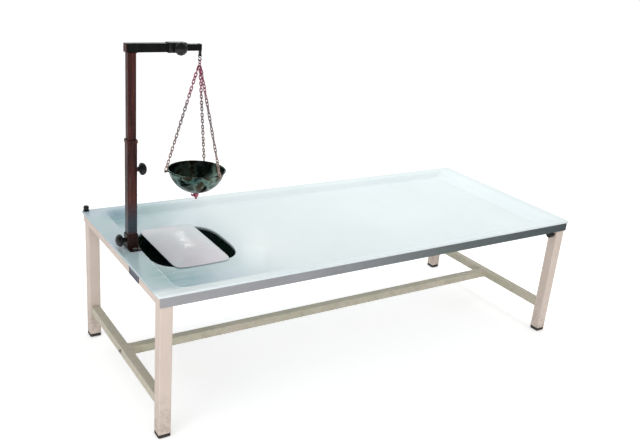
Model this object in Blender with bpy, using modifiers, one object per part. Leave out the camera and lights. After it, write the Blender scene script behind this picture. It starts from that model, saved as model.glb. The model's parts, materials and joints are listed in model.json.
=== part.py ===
"""Dhara table: an oil-treatment table with a shallow moulded tray, a head basin and rest,
and a telescopic stand that hangs an oil bowl over the head.

The frame's origin is on the floor under the middle of the table. +X runs to the foot end,
+Y to the far long side and +Z up. Sizes are in metres.
"""

import math

import bmesh
import bpy
from mathutils import Matrix, Vector

# Driving dimensions
TABLE_LENGTH = 2.134
TABLE_WIDTH = 0.914
TABLE_HEIGHT = 0.610
GAP = 0.0003  # between pieces that touch

HEAD_X = -TABLE_LENGTH / 2
FOOT_X = TABLE_LENGTH / 2
SIDE_Y = TABLE_WIDTH / 2

# Tray: a moulded shell with a flat rim, sloping walls and a flat floor
SHELL = 0.004
TRAY_DEPTH = 0.030
FLOOR_TOP = TABLE_HEIGHT - TRAY_DEPTH
LIP_DROP = 0.009
RIM = {"head": 0.086, "foot": 0.034, "side": 0.034}
SLOPE = {"head": 0.014, "foot": 0.100, "side": 0.045}
RIM_CORNER = 0.012
WALL_CORNER = 0.035
FLOOR_CORNER = 0.055

# Basin and head rest
BASIN_X = HEAD_X + 0.2945
BASIN_HALF = (0.1845, 0.195)
BASIN_POWER = 3.4  # superellipse exponent of the opening
BASIN_TOP = FLOOR_TOP - SHELL - GAP
BASIN_WALL = 0.003
BASIN_DEPTH = 0.085
BASIN_FALL = 0.012  # from the foot of the walls down to the drain
BASIN_FLOOR_Z = BASIN_TOP - BASIN_DEPTH - BASIN_FALL
DRAIN_RADIUS = 0.018
REST_X = (HEAD_X + 0.169, HEAD_X + 0.411)
REST_HALF_Y = 0.212
REST_RISE = 0.026

# Frame
RAIL_HEIGHT = 0.046
RAIL_THICK = 0.025
RAIL_INSET = 0.0075
RAIL_TOP = TABLE_HEIGHT - SHELL - GAP
RAIL_BOTTOM = RAIL_TOP - RAIL_HEIGHT
TRIM_HEIGHT = 0.040
TRIM_THICK = 0.002
LEG_SIDE = 0.050
LEG_WALL = 0.002
LEG_INSET = 0.036
FOOT_CAP = 0.016
STRETCHER_SIDE = 0.038
STRETCHER_Z = 0.142
STRETCHER_HOLE = 0.0056
SUPPORT_X = HEAD_X + 1.250
SUPPORT_SECTION = (0.016, 0.040)

# Stand
COLUMN_X = HEAD_X + 0.064
CROSSBAR_X = COLUMN_X - 0.003
CROSSBAR_SECTION = (0.025, 0.036)
COLUMN_SIDE = 0.038
MAST_SIDE = 0.032
ARM_SIDE = 0.032
SLIDE_SIDE = 0.025
TUBE_WALL = 0.002
SOCKET_PLATE = (0.046, 0.112, 0.005)
SOCKET_BOLT_Y = 0.042
SOCKET_SIDE = 0.045
SOCKET_HEIGHT = 0.052
SOCKET_KNOB_Z = TABLE_HEIGHT + 0.032
SOCKET_SEAT = 0.0065  # from the socket's face to the knob's hub
COLUMN_SEAT = 0.009
ARM_SEAT = 0.003
COLUMN_TOP = TABLE_HEIGHT + 0.430
COLUMN_KNOB_Z = TABLE_HEIGHT + 0.320
MAST_FOOT = TABLE_HEIGHT + 0.100
ARM_Z = TABLE_HEIGHT + 0.786
ARM_END = COLUMN_X + 0.198
ARM_KNOB_X = COLUMN_X + 0.180
COLLAR_START = COLUMN_X + 0.140
COLLAR_END = ARM_END + 0.014
COLLAR_SIDE = ARM_SIDE + 0.006
SLIDE_END = COLUMN_X + 0.2715
STUD_RADIUS = 0.004
BOLT_HOLE = STUD_RADIUS + 0.0005
STUD_HOLE = STUD_RADIUS + GAP
STUD_GRIP = 0.0172  # how far the stud reaches into its knob
KNOB_BORE = STUD_RADIUS + 0.0004
KNOB_PROFILE = (
    (0, 0.033), (0.010, 0.0322), (0.018, 0.0290), (0.0235, 0.0235), (0.0250, 0.0175),
    (0.0235, 0.0115), (0.0180, 0.0075), (0.0110, 0.0060), (0.0100, 0.0),
    (KNOB_BORE, 0.0), (KNOB_BORE, 0.018), (0, 0.018),
)

# Hanging bowl
LUG_THICK = 0.004
LUG_RADIUS = 0.0095
EYE_RADIUS = 0.0045
HOOK_X = SLIDE_END + GAP + LUG_THICK / 2
HOOK_EYE_Z = TABLE_HEIGHT + 0.760
HOOK_WIRE = 0.0018
HOOK_LOOP = 0.0055
HOOK_LOOP_Z = (-0.0075, -0.0215)  # middles of the two loops, below the eye
RING_WIRE = 0.0016
RING_RADIUS = 0.0075
RING_TOP_Z = HOOK_EYE_Z + HOOK_LOOP_Z[1] - HOOK_LOOP + HOOK_WIRE + RING_WIRE + GAP
CHAIN_RADIUS = 0.0018
BOWL_RIM_Z = TABLE_HEIGHT + 0.296
BOWL_RADIUS = 0.114
BOWL_DEPTH = 0.096
BOWL_WALL = 0.0016
BOWL_SPHERE = (BOWL_RADIUS**2 + BOWL_DEPTH**2) / (2 * BOWL_DEPTH)
EAR_RADIUS = BOWL_RADIUS + 0.0095
EAR_ANGLES = {"left": 172, "far": 52, "near": -68}
EAR_Z = BOWL_RIM_Z - 0.002
YOKE_EYE = 0.0045
YOKE_WIRE = 0.0014
YOKE_RADIUS = 0.0065
TAP_HOLE = 0.008

# Local frames that lay a section drawn in local XY across a world axis
ACROSS = {
    "X": Matrix(((0, 0, 1), (1, 0, 0), (0, 1, 0))),
    "Y": Matrix(((0, 1, 0), (0, 0, 1), (1, 0, 0))),
    "Z": Matrix.Identity(3),
}


def clear_scene():
    for old in list(bpy.data.objects):
        bpy.data.objects.remove(old)


def new_collection(name, hidden=False):
    made = bpy.data.collections.new(name)
    made.hide_render = hidden
    bpy.context.scene.collection.children.link(made)
    return made


def material(name, colour, roughness, metallic=0.0):
    made = bpy.data.materials.new(name)
    made.use_nodes = True
    surface = made.node_tree.nodes["Principled BSDF"]
    surface.inputs["Base Color"].default_value = (*colour, 1.0)
    surface.inputs["Roughness"].default_value = roughness
    surface.inputs["Metallic"].default_value = metallic
    return made


clear_scene()
PARTS = new_collection("dhara_table")
CUTTERS = new_collection("cutters", hidden=True)

WHITE_GELCOAT = material("white_gelcoat", (0.80, 0.87, 0.89), 0.20)
DARK_GELCOAT = material("dark_gelcoat", (0.010, 0.028, 0.022), 0.30)
IVORY_PAINT = material("ivory_paint", (0.60, 0.50, 0.45), 0.45)
GREY_TRIM = material("grey_trim", (0.16, 0.19, 0.19), 0.35, 0.8)
BROWN_PAINT = material("brown_paint", (0.050, 0.020, 0.016), 0.35)
DARK_STEEL = material("dark_steel", (0.045, 0.050, 0.045), 0.35, 0.5)
BLACK_PLASTIC = material("black_plastic", (0.006, 0.006, 0.007), 0.35)
PLATE_BLUE = material("plate_blue", (0.09, 0.09, 0.12), 0.40)
ZINC = material("zinc", (0.55, 0.56, 0.57), 0.35, 1.0)
STAINLESS = material("stainless", (0.55, 0.60, 0.56), 0.12, 1.0)
BRASS = material("brass", (0.60, 0.42, 0.20), 0.30, 1.0)
COPPER = material("copper", (0.55, 0.18, 0.22), 0.35, 0.7)
CHAIN_METAL = material("chain_metal", (0.30, 0.24, 0.22), 0.40, 0.9)


def finish(obj, surface, collection=PARTS):
    """Links a new object and gives it its material."""
    if obj.name not in collection.objects:
        collection.objects.link(obj)
    obj.data.materials.clear()
    if surface:
        obj.data.materials.append(surface)
    return obj


def from_bmesh(name, bm, surface, collection=PARTS):
    mesh = bpy.data.meshes.new(name)
    bm.to_mesh(mesh)
    bm.free()
    return finish(bpy.data.objects.new(name, mesh), surface, collection)


def smooth(obj, degrees=35):
    obj.data.shade_smooth()
    obj.data.set_sharp_from_angle(angle=math.radians(degrees))
    return obj


def place(obj, at, parent=None):
    """Puts an object's origin at a point of the world, under an unturned parent."""
    obj.parent = parent
    obj.location = Vector(at) - (parent.matrix_world.translation if parent else Vector())
    bpy.context.view_layer.update()
    return obj


def joint(name, at, parent=None):
    """An empty on a joint's axis, which carries the pieces that move with it."""
    made = bpy.data.objects.new(name, None)
    PARTS.objects.link(made)
    return place(made, at, parent)


def arc(centre, radius, start, end, steps):
    """Points of an arc in a plane, from start to end in degrees."""
    turns = (math.radians(start + (end - start) * k / steps) for k in range(steps + 1))
    return [(centre[0] + radius * math.cos(t), centre[1] + radius * math.sin(t)) for t in turns]


def rounded_rectangle(width, depth, radius, steps=4):
    """Points of a rounded rectangle about the origin, anticlockwise from its +X +Y corner."""
    points = []
    for quarter, (sx, sy) in enumerate(((1, 1), (-1, 1), (-1, -1), (1, -1))):
        centre = (sx * (width / 2 - radius), sy * (depth / 2 - radius))
        points += arc(centre, radius, 90 * quarter, 90 * quarter + 90, steps)
    return points


def circle(radius, centre=(0, 0), steps=20):
    return arc(centre, radius, 0, 360, steps)[:-1]


def as_mesh(curve_object):
    """Turns a curve object into a mesh object of the same name and place, its caps welded."""
    bpy.context.view_layer.update()
    graph = bpy.context.evaluated_depsgraph_get()
    mesh = bpy.data.meshes.new_from_object(curve_object.evaluated_get(graph))
    bm = bmesh.new()
    bm.from_mesh(mesh)
    bmesh.ops.remove_doubles(bm, verts=bm.verts, dist=1e-6)
    bmesh.ops.recalc_face_normals(bm, faces=bm.faces)
    bm.to_mesh(mesh)
    bm.free()
    name = curve_object.name
    collection = curve_object.users_collection[0]
    surface = curve_object.data.materials[0] if curve_object.data.materials else None
    matrix = curve_object.matrix_world.copy()
    bpy.data.objects.remove(curve_object)
    made = finish(bpy.data.objects.new(name, mesh), surface, collection)
    made.matrix_world = matrix
    return made


def slab(name, outlines, thickness, surface, axis="Z"):
    """A flat piece from outlines in a plane, its edge and then its holes, extruded along an axis."""
    curve = bpy.data.curves.new(name, "CURVE")
    curve.dimensions = "2D"
    curve.fill_mode = "BOTH"
    curve.extrude = thickness / 2
    for outline in outlines:
        spline = curve.splines.new("POLY")
        spline.points.add(len(outline) - 1)
        spline.use_cyclic_u = True
        for point, (x, y) in zip(spline.points, outline):
            point.co = (x, y, 0, 1)
    made = finish(bpy.data.objects.new(name, curve), surface)
    made.matrix_world = ACROSS[axis].to_4x4()
    return smooth(as_mesh(made))


def box_tube(name, section, wall, length, corner, surface, axis):
    """A hollow rectangular tube. The section's two sizes lie on the two axes that follow axis."""
    inner_corner = max(corner - wall, 0.0006)
    outer = rounded_rectangle(*section, corner)
    inner = rounded_rectangle(section[0] - 2 * wall, section[1] - 2 * wall, inner_corner)
    return slab(name, (outer, inner), length, surface, axis)


def mitre(rail, section_axis, outward):
    """Cuts both ends of a tube at 45 degrees, keeping its outer side full length."""
    half = max(v.co[section_axis] for v in rail.data.vertices)
    for v in rail.data.vertices:
        v.co.z -= math.copysign(half - outward * v.co[section_axis], v.co.z)


def turned(name, profile, surface, steps=24, along=(0, 0, 1), closed=False):
    """A piece of revolution from (radius, height) points that run down its outer side."""
    mesh = bpy.data.meshes.new(name)
    count = len(profile)
    edges = [(k, k + 1) for k in range(count - 1)]
    if closed:
        edges.append((count - 1, 0))
    mesh.from_pydata([(r, 0, h) for r, h in profile], edges, [])
    made = finish(bpy.data.objects.new(name, mesh), surface)
    spin = made.modifiers.new("spin", "SCREW")
    spin.steps = steps
    spin.render_steps = steps
    spin.use_merge_vertices = True
    spin.merge_threshold = 0.00001
    made.rotation_mode = "QUATERNION"
    made.rotation_quaternion = Vector(along).to_track_quat("Z", "Y")
    return made


def rod(name, radius, length, surface, along=(0, 0, 1), steps=16, collection=PARTS):
    """A cylinder about its own middle."""
    bm = bmesh.new()
    bmesh.ops.create_cone(
        bm, cap_ends=True, segments=steps, radius1=radius, radius2=radius, depth=length
    )
    made = from_bmesh(name, bm, surface, collection)
    made.rotation_mode = "QUATERNION"
    made.rotation_quaternion = Vector(along).to_track_quat("Z", "Y")
    return smooth(made)


def torus(name, radius, wire_radius, axis, surface):
    """A ring of round wire about an axis through its middle."""
    sides = 8
    rings = [
        [
            Vector(ACROSS[axis] @ Vector((
                (radius + wire_radius * math.cos(turn)) * math.cos(around),
                (radius + wire_radius * math.cos(turn)) * math.sin(around),
                wire_radius * math.sin(turn),
            )))
            for turn in (2 * math.pi * k / sides for k in range(sides))
        ]
        for around in (2 * math.pi * k / 24 for k in range(25))
    ]
    bm, _ = ring_mesh(rings)
    bmesh.ops.remove_doubles(bm, verts=bm.verts, dist=1e-6)
    bmesh.ops.recalc_face_normals(bm, faces=bm.faces)
    return smooth(from_bmesh(name, bm, surface), 60)


def wire(name, points, radius, surface, steps=2):
    """A round wire through points, with filled ends."""
    curve = bpy.data.curves.new(name, "CURVE")
    curve.dimensions = "3D"
    curve.bevel_depth = radius
    curve.bevel_resolution = steps
    curve.use_fill_caps = True
    spline = curve.splines.new("POLY")
    spline.points.add(len(points) - 1)
    for point, at in zip(spline.points, points):
        point.co = (*at, 1)
    return finish(bpy.data.objects.new(name, curve), surface)


def helper(obj):
    """Makes an object a cutter or a joined shape: kept out of the model itself."""
    for collection in list(obj.users_collection):
        collection.objects.unlink(obj)
    CUTTERS.objects.link(obj)
    obj.hide_render = True
    obj.display_type = "WIRE"
    return obj


def combine(target, other, operation):
    made = target.modifiers.new(operation.lower(), "BOOLEAN")
    made.operation = operation
    made.object = helper(other)
    return target


def drill(target, radius, at, along, length):
    """A round hole through a piece."""
    cutter = rod(f"cut_{target.name}_{len(target.modifiers)}", radius, length, None, along)
    return combine(target, place(cutter, at), "DIFFERENCE")


def ring_mesh(rings, bm=None):
    """Bridges rings of equally many points, each ring joined to the next, into an open surface."""
    bm = bm or bmesh.new()
    loops = [[bm.verts.new(point) for point in ring] for ring in rings]
    for upper, lower in zip(loops, loops[1:]):
        for k in range(len(upper)):
            after = (k + 1) % len(upper)
            bm.faces.new((upper[k], lower[k], lower[after], upper[after]))
    return bm, loops


def thicken(obj, thickness, offset=-1):
    shell = obj.modifiers.new("shell", "SOLIDIFY")
    shell.thickness = thickness
    shell.offset = offset
    shell.use_even_offset = True
    return obj


def tray_ring(head, foot, side, radius, height):
    """A rounded rectangle inset from the tray's outer edge by its own amount at each end and side."""
    length = TABLE_LENGTH - head - foot
    middle = (head - foot) / 2
    outline = rounded_rectangle(length, TABLE_WIDTH - 2 * side, radius, 5)
    return [(x + middle, y, height) for x, y in outline]


def opening_ring(grow, height, steps=40):
    """The basin opening's outline, a superellipse, grown outwards and set at a height."""
    half_x = BASIN_HALF[0] + grow
    half_y = BASIN_HALF[1] + grow
    ring = []
    for k in range(steps):
        c = math.cos(2 * math.pi * k / steps)
        s = math.sin(2 * math.pi * k / steps)
        x = half_x * math.copysign(abs(c) ** (2 / BASIN_POWER), c)
        y = half_y * math.copysign(abs(s) ** (2 / BASIN_POWER), s)
        ring.append((BASIN_X + x, y, height))
    return ring


def make_tray():
    """The moulded tray: down-turned lip, rim, sloping wall, floor and the opening's turned edge."""
    edge = 0.003
    rings = [
        tray_ring(0, 0, 0, RIM_CORNER, TABLE_HEIGHT - LIP_DROP),
        tray_ring(0, 0, 0, RIM_CORNER, TABLE_HEIGHT - edge),
        tray_ring(edge, edge, edge, RIM_CORNER - edge, TABLE_HEIGHT),
    ]
    slope_steps = 6
    for k in range(slope_steps + 1):
        t = k / slope_steps
        fall = TRAY_DEPTH * (3 * t * t - 2 * t**3)
        insets = {side: RIM[side] + SLOPE[side] * t for side in RIM}
        corner = WALL_CORNER + (FLOOR_CORNER - WALL_CORNER) * t
        rings.append(tray_ring(**insets, radius=corner, height=TABLE_HEIGHT - fall))
    bm, _ = ring_mesh(rings)
    turned_edge = ((0.004, 0), (0, 0.003), (0, 0.014))
    ring_mesh([opening_ring(grow, FLOOR_TOP - drop) for grow, drop in turned_edge], bm)
    border = [
        e for e in bm.edges
        if e.is_boundary and all(abs(v.co.z - FLOOR_TOP) < 1e-6 for v in e.verts)
    ]
    bmesh.ops.triangle_fill(bm, use_beauty=True, edges=border, normal=(0, 0, 1))
    bmesh.ops.recalc_face_normals(bm, faces=bm.faces)
    if max(bm.faces, key=lambda f: f.calc_area()).normal.z < 0:
        bmesh.ops.reverse_faces(bm, faces=bm.faces)
    tray = smooth(from_bmesh("tray", bm, WHITE_GELCOAT))
    thicken(tray, SHELL)
    for side in (-1, 1):
        drill(tray, BOLT_HOLE, (COLUMN_X, side * SOCKET_BOLT_Y, TABLE_HEIGHT), (0, 0, 1), 0.04)


def make_basin():
    """The dark basin hung under the opening: a flange, walls that draw in, and a drain hole."""
    flange, step, draw_in = 0.016, 0.006, 0.060
    rings = [opening_ring(flange, BASIN_TOP), opening_ring(step, BASIN_TOP)]
    wall_steps = 6
    for k in range(1, wall_steps + 1):
        t = k / wall_steps
        height = BASIN_TOP - BASIN_DEPTH * (1 - (1 - t) ** 1.5)
        rings.append(opening_ring(step - draw_in * t**2.2, height))
    floor = BASIN_TOP - BASIN_DEPTH
    for share, scale in ((1 / 3, 0.62), (2 / 3, 0.34)):
        ring = opening_ring(step - draw_in, floor - BASIN_FALL * share)
        rings.append([(BASIN_X + (x - BASIN_X) * scale, y * scale, z) for x, y, z in ring])
    hole = circle(DRAIN_RADIUS, (BASIN_X, 0), len(rings[0]))
    rings.append([(x, y, BASIN_FLOOR_Z) for x, y in hole])
    bm, _ = ring_mesh(rings)
    bmesh.ops.recalc_face_normals(bm, faces=bm.faces)
    if bm.faces[0].normal.z < 0:
        bmesh.ops.reverse_faces(bm, faces=bm.faces)
    thicken(smooth(from_bmesh("basin", bm, DARK_GELCOAT)), BASIN_WALL)


def make_drain():
    """Strainer, spigot, locknut and butterfly valve on the basin's drain hole."""
    flange_z = BASIN_FLOOR_Z + 0.001
    bore = 0.012
    neck = DRAIN_RADIUS - 0.0012
    spigot = turned(
        "drain_spigot",
        (
            (0.030, 0.0045), (0.030, 0.002), (neck, 0.0), (neck, -0.042),
            (bore, -0.042), (bore, -0.004), (0.024, 0.0022), (0.024, 0.0045),
        ),
        BRASS, closed=True,
    )
    place(spigot, (BASIN_X, 0, flange_z + 0.001))
    strainer = rod("drain_strainer", 0.0234, 0.0016, STAINLESS, steps=24)
    place(strainer, (BASIN_X, 0, flange_z + 0.0045))
    for k in range(6):
        a = math.radians(60 * k)
        at = (BASIN_X + 0.008 * math.cos(a), 0.008 * math.sin(a), flange_z)
        drill(strainer, 0.0025, at, (0, 0, 1), 0.03)
    under = BASIN_FLOOR_Z - BASIN_WALL - GAP
    nut_wall = ((0.027, 0), (0.027, -0.009), (neck + GAP, -0.009), (neck + GAP, 0))
    nut = turned("drain_locknut", nut_wall, BRASS, steps=24, closed=True)
    place(nut, (BASIN_X, 0, under - 0.001))
    body_top = under - 0.0113
    socket = 0.0265
    body = turned(
        "valve_body",
        (
            (0.0225, 0), (0.0225, -0.020), (0.020, -0.024), (0.020, -0.048), (0.016, -0.052),
            (0.016, -0.070), (bore, -0.070), (bore, -socket), (neck + GAP, -socket),
            (neck + GAP, 0),
        ),
        BRASS, closed=True,
    )
    place(body, (BASIN_X, 0, body_top))
    axis_z = body_top - 0.036
    drill(body, 0.0034, (BASIN_X, -0.014, axis_z), (0, 1, 0), 0.020)
    pivot = joint("valve_axis", (BASIN_X, 0, axis_z))
    vane = rod("valve_vane", 0.0030, 0.020, STAINLESS, (0, 1, 0), steps=12)
    place(vane, (BASIN_X, -0.0190, axis_z), pivot)
    disc = rod("vane_disc", bore - 0.0008, 0.0025, None, steps=24)
    combine(vane, place(disc, (BASIN_X, 0, axis_z)), "UNION")
    handle = [(x - 0.022, z) for x, z in rounded_rectangle(0.062, 0.012, 0.0055, 3)]
    lever = slab("valve_lever", (handle, circle(0.0033, steps=12)), 0.003, STAINLESS, "Z")
    lever.matrix_world = Matrix.Rotation(math.radians(90), 4, "X")
    place(lever, (BASIN_X, -0.0260, axis_z), pivot)


def make_head_rest():
    """A crowned bridge across the opening, sat on the tray floor at both ends."""
    middle_x = (REST_X[0] + REST_X[1]) / 2
    half_x = (REST_X[1] - REST_X[0]) / 2
    base = FLOOR_TOP + SHELL + GAP
    cells = 12
    bm = bmesh.new()
    bmesh.ops.create_grid(bm, x_segments=cells, y_segments=cells, size=1)
    for v in bm.verts:
        u, w = v.co.x, v.co.y
        # The corners of the plan draw in a little.
        x = u * half_x * (1 - 0.03 * w**8)
        y = w * REST_HALF_Y * (1 - 0.05 * abs(u) ** 4)
        crown = (1 - abs(u) ** 2.6) * (1 - abs(w) ** 3.2)
        hollow = 0.18 * math.exp(-((w / 0.35) ** 2)) * (1 - u * u)
        v.co = (x, y, REST_RISE * (crown - hollow))
    head_rest = smooth(from_bmesh("head_rest", bm, WHITE_GELCOAT), 60)
    thicken(head_rest, SHELL)
    pivot = joint("head_rest_lift", (middle_x, 0, base))
    place(head_rest, (middle_x, 0, base), pivot)


def make_rails():
    """The mitred top frame, the grey side trims and the bars that carry the tray."""
    outer_x = TABLE_LENGTH / 2 - RAIL_INSET
    outer_y = SIDE_Y - RAIL_INSET
    middle_z = (RAIL_TOP + RAIL_BOTTOM) / 2
    for name, side in (("near", -1), ("far", 1)):
        rail = box_tube(
            f"rail_{name}", (RAIL_THICK, RAIL_HEIGHT), TUBE_WALL, 2 * (outer_x - GAP),
            0.003, IVORY_PAINT, "X",
        )
        mitre(rail, 0, side)
        place(rail, (0, side * (outer_y - RAIL_THICK / 2), middle_z))
        strip = (TRIM_THICK, TRIM_HEIGHT)
        trim = slab(
            f"trim_{name}", (rounded_rectangle(*strip, 0.0008, 2),),
            2 * (outer_x - 0.002), GREY_TRIM, "X",
        )
        trim_z = RAIL_BOTTOM - 0.0002 + TRIM_HEIGHT / 2
        place(trim, (0, side * (outer_y + GAP + TRIM_THICK / 2), trim_z))
    for name, side in (("head", -1), ("foot", 1)):
        rail = box_tube(
            f"rail_{name}", (RAIL_HEIGHT, RAIL_THICK), TUBE_WALL, 2 * (outer_y - GAP),
            0.003, IVORY_PAINT, "Y",
        )
        mitre(rail, 1, side)
        place(rail, (side * (outer_x - RAIL_THICK / 2), 0, middle_z))
    inner_length = 2 * (outer_y - RAIL_THICK - GAP)
    crossbar = box_tube(
        "head_crossbar", CROSSBAR_SECTION, TUBE_WALL, inner_length, 0.003, IVORY_PAINT, "Y"
    )
    place(crossbar, (CROSSBAR_X, 0, RAIL_TOP - CROSSBAR_SECTION[0] / 2))
    for side in (-1, 1):
        drill(crossbar, BOLT_HOLE, (COLUMN_X, side * SOCKET_BOLT_Y, RAIL_TOP), (0, 0, 1), 0.02)
    support = box_tube(
        "cross_support", SUPPORT_SECTION, 0.0015, inner_length, 0.002, IVORY_PAINT, "Y"
    )
    place(support, (SUPPORT_X, 0, BASIN_TOP - SUPPORT_SECTION[0] / 2))


def foot_cap(name):
    """A moulded cap under a leg, with a plug that fits inside the tube."""
    side = LEG_SIDE + 0.001
    plug = LEG_SIDE - 2 * LEG_WALL - 0.0014
    top = FOOT_CAP - GAP
    levels = (
        (side - 0.006, 0.004, 0), (side, 0.006, 0.003), (side, 0.006, top - 0.001),
        (side - 0.002, 0.005, top), (plug, 0.004, top), (plug, 0.004, top + 0.020),
    )
    rings = [[(x, y, z) for x, y in rounded_rectangle(w, w, r)] for w, r, z in levels]
    bm, loops = ring_mesh(rings)
    bm.faces.new(loops[0])
    bm.faces.new(loops[-1])
    bmesh.ops.recalc_face_normals(bm, faces=bm.faces)
    return smooth(from_bmesh(name, bm, BLACK_PLASTIC))


def make_legs():
    """Four legs with foot caps, and the H of stretchers that joins them."""
    leg_x = TABLE_LENGTH / 2 - LEG_INSET
    leg_y = SIDE_Y - LEG_INSET
    leg_top = RAIL_BOTTOM - GAP
    for end, sx in (("head", -1), ("foot", 1)):
        for side, sy in (("near", -1), ("far", 1)):
            leg = box_tube(
                f"leg_{end}_{side}", (LEG_SIDE, LEG_SIDE), LEG_WALL, leg_top - FOOT_CAP,
                0.005, IVORY_PAINT, "Z",
            )
            place(leg, (sx * leg_x, sy * leg_y, (leg_top + FOOT_CAP) / 2))
            cap = foot_cap(f"foot_cap_{end}_{side}")
            place(cap, (sx * leg_x, sy * leg_y, 0))
    square = (STRETCHER_SIDE, STRETCHER_SIDE)
    across = 2 * (leg_y - LEG_SIDE / 2 - GAP)
    for end, sx in (("head", -1), ("foot", 1)):
        bar = box_tube(f"stretcher_{end}", square, TUBE_WALL, across, 0.004, IVORY_PAINT, "Y")
        place(bar, (sx * leg_x, 0, STRETCHER_Z))
        drill(bar, STRETCHER_HOLE, (sx * leg_x, 0, STRETCHER_Z), (1, 0, 0), 0.06)
        bolt = turned(
            f"stretcher_bolt_{end}",
            ((0, 0.0055), (0.0045, 0.005), (0.0080, 0.003), (0.0092, 0), (0.005, 0),
             (0.005, -0.060), (0, -0.060)),
            ZINC, steps=16, along=(sx, 0, 0),
        )
        place(bolt, (sx * (leg_x + STRETCHER_SIDE / 2 + GAP), 0, STRETCHER_Z))
    along = 2 * (leg_x - STRETCHER_SIDE / 2 - GAP)
    bar = box_tube("stretcher_long", square, TUBE_WALL, along, 0.004, IVORY_PAINT, "X")
    place(bar, (0, 0, STRETCHER_Z))
    for side, sy in (("near", -1), ("far", 1)):
        lock = turned(
            f"leg_bolt_{side}",
            ((0, 0.034), (0.010, 0.033), (0.017, 0.028), (0.018, 0.012), (0.012, 0.008),
             (0.012, 0.0), (0, 0.0)),
            BLACK_PLASTIC, steps=20, along=(-1, 0, 0),
        )
        at_x = leg_x - LEG_SIDE / 2 - GAP
        place(lock, (at_x, sy * leg_y, leg_top - 0.021))


def make_rim_fittings():
    """The blank plate on the head rail and the stud on the rim's far head corner."""
    plate = slab(
        "name_plate", (rounded_rectangle(0.105, 0.034, 0.004, 3),), 0.0012, PLATE_BLUE, "X"
    )
    plate_x = HEAD_X + RAIL_INSET - GAP - 0.0006
    place(plate, (plate_x, -0.190, (RAIL_TOP + RAIL_BOTTOM) / 2 - 0.003))
    stud = turned(
        "corner_stud",
        ((0, 0.024), (0.007, 0.023), (0.0115, 0.019), (0.012, 0.011), (0.010, 0.009),
         (0.013, 0.006), (0.013, 0), (0, 0)),
        BLACK_PLASTIC, steps=20,
    )
    place(stud, (HEAD_X + 0.017, SIDE_Y - 0.017, TABLE_HEIGHT + GAP))


def make_knob(name, seat, along, reach, parent):
    """A clamp screw: a plain stud from its tip outwards, and a round knob on the stud's outer end.

    seat is the point on the knob's axis where its hub stands, and reach how far the stud goes in."""
    along = Vector(along)
    seat = Vector(seat)
    slide = joint(f"{name}_travel", seat, parent)
    stud = rod(f"{name}_stud", STUD_RADIUS, reach + STUD_GRIP, ZINC, along, steps=14)
    place(stud, seat + along * (STUD_GRIP - reach) / 2, slide)
    turn = joint(f"{name}_turn", seat, slide)
    knob = turned(f"{name}_knob", KNOB_PROFILE, BLACK_PLASTIC, steps=20, along=along)
    place(knob, seat, turn)


def boss(target, at, along, height):
    """A round threaded boss on a tube's side, joined to it."""
    ring = rod(f"boss_{target.name}", 0.009, height + 0.0008, None, along, steps=16)
    centre = Vector(at) + Vector(along) * (height - 0.0008) / 2
    return combine(target, place(ring, centre), "UNION")


def make_socket():
    """The base plate and square socket that hold the stand on the head rim."""
    holes = [circle(BOLT_HOLE, (0, side * SOCKET_BOLT_Y), 16) for side in (-1, 1)]
    outline = rounded_rectangle(SOCKET_PLATE[0], SOCKET_PLATE[1], 0.006)
    socket = slab("stand_socket", (outline, *holes), SOCKET_PLATE[2], BROWN_PAINT, "Z")
    plate_top = TABLE_HEIGHT + GAP + SOCKET_PLATE[2]
    place(socket, (COLUMN_X, 0, plate_top - SOCKET_PLATE[2] / 2))
    wall = (SOCKET_SIDE - COLUMN_SIDE) / 2 - 0.0007
    sleeve = box_tube(
        "socket_sleeve", (SOCKET_SIDE, SOCKET_SIDE), wall, SOCKET_HEIGHT + 0.001,
        0.004, None, "Z",
    )
    place(sleeve, (COLUMN_X, 0, plate_top + SOCKET_HEIGHT / 2 - 0.0005))
    combine(socket, sleeve, "UNION")
    face = (COLUMN_X - SOCKET_SIDE / 2, 0, SOCKET_KNOB_Z)
    boss(socket, face, (-1, 0, 0), 0.004)
    drill(socket, STUD_HOLE, face, (1, 0, 0), 0.024)
    reach = (SOCKET_SIDE - COLUMN_SIDE) / 2 + SOCKET_SEAT - GAP
    make_knob("socket", Vector(face) - Vector((SOCKET_SEAT, 0, 0)), (-1, 0, 0), reach, None)
    for side, sy in (("near", -1), ("far", 1)):
        bolt = turned(
            f"socket_bolt_{side}",
            ((0, 0.005), (0.004, 0.0046), (0.0072, 0.0026), (0.0080, 0), (STUD_RADIUS, 0),
             (STUD_RADIUS, -0.020), (0, -0.020)),
            ZINC, steps=16,
        )
        place(bolt, (COLUMN_X, sy * SOCKET_BOLT_Y, plate_top + GAP))


def make_column():
    """The lower tube of the stand, which lifts out of the socket, with its collar and knob."""
    foot = TABLE_HEIGHT + GAP + SOCKET_PLATE[2] + GAP
    lift = joint("stand_lift", (COLUMN_X, 0, foot))
    column = box_tube(
        "column_tube", (COLUMN_SIDE, COLUMN_SIDE), TUBE_WALL, COLUMN_TOP - foot,
        0.0035, BROWN_PAINT, "Z",
    )
    place(column, (COLUMN_X, 0, (COLUMN_TOP + foot) / 2), lift)
    collar = box_tube(
        "column_collar", (COLUMN_SIDE + 0.004, COLUMN_SIDE + 0.004),
        (COLUMN_SIDE + 0.004 - MAST_SIDE) / 2 - 0.0004, 0.012, 0.004, BROWN_PAINT, "Z",
    )
    place(collar, (COLUMN_X, 0, COLUMN_TOP + GAP + 0.006), lift)
    face = Vector((COLUMN_X + COLUMN_SIDE / 2, 0, COLUMN_KNOB_Z))
    boss(column, face, (1, 0, 0), 0.006)
    drill(column, STUD_HOLE, face, (1, 0, 0), 0.024)
    reach = (COLUMN_SIDE - MAST_SIDE) / 2 + COLUMN_SEAT - GAP
    make_knob("column", face + Vector((COLUMN_SEAT, 0, 0)), (1, 0, 0), reach, lift)
    return lift


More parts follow.
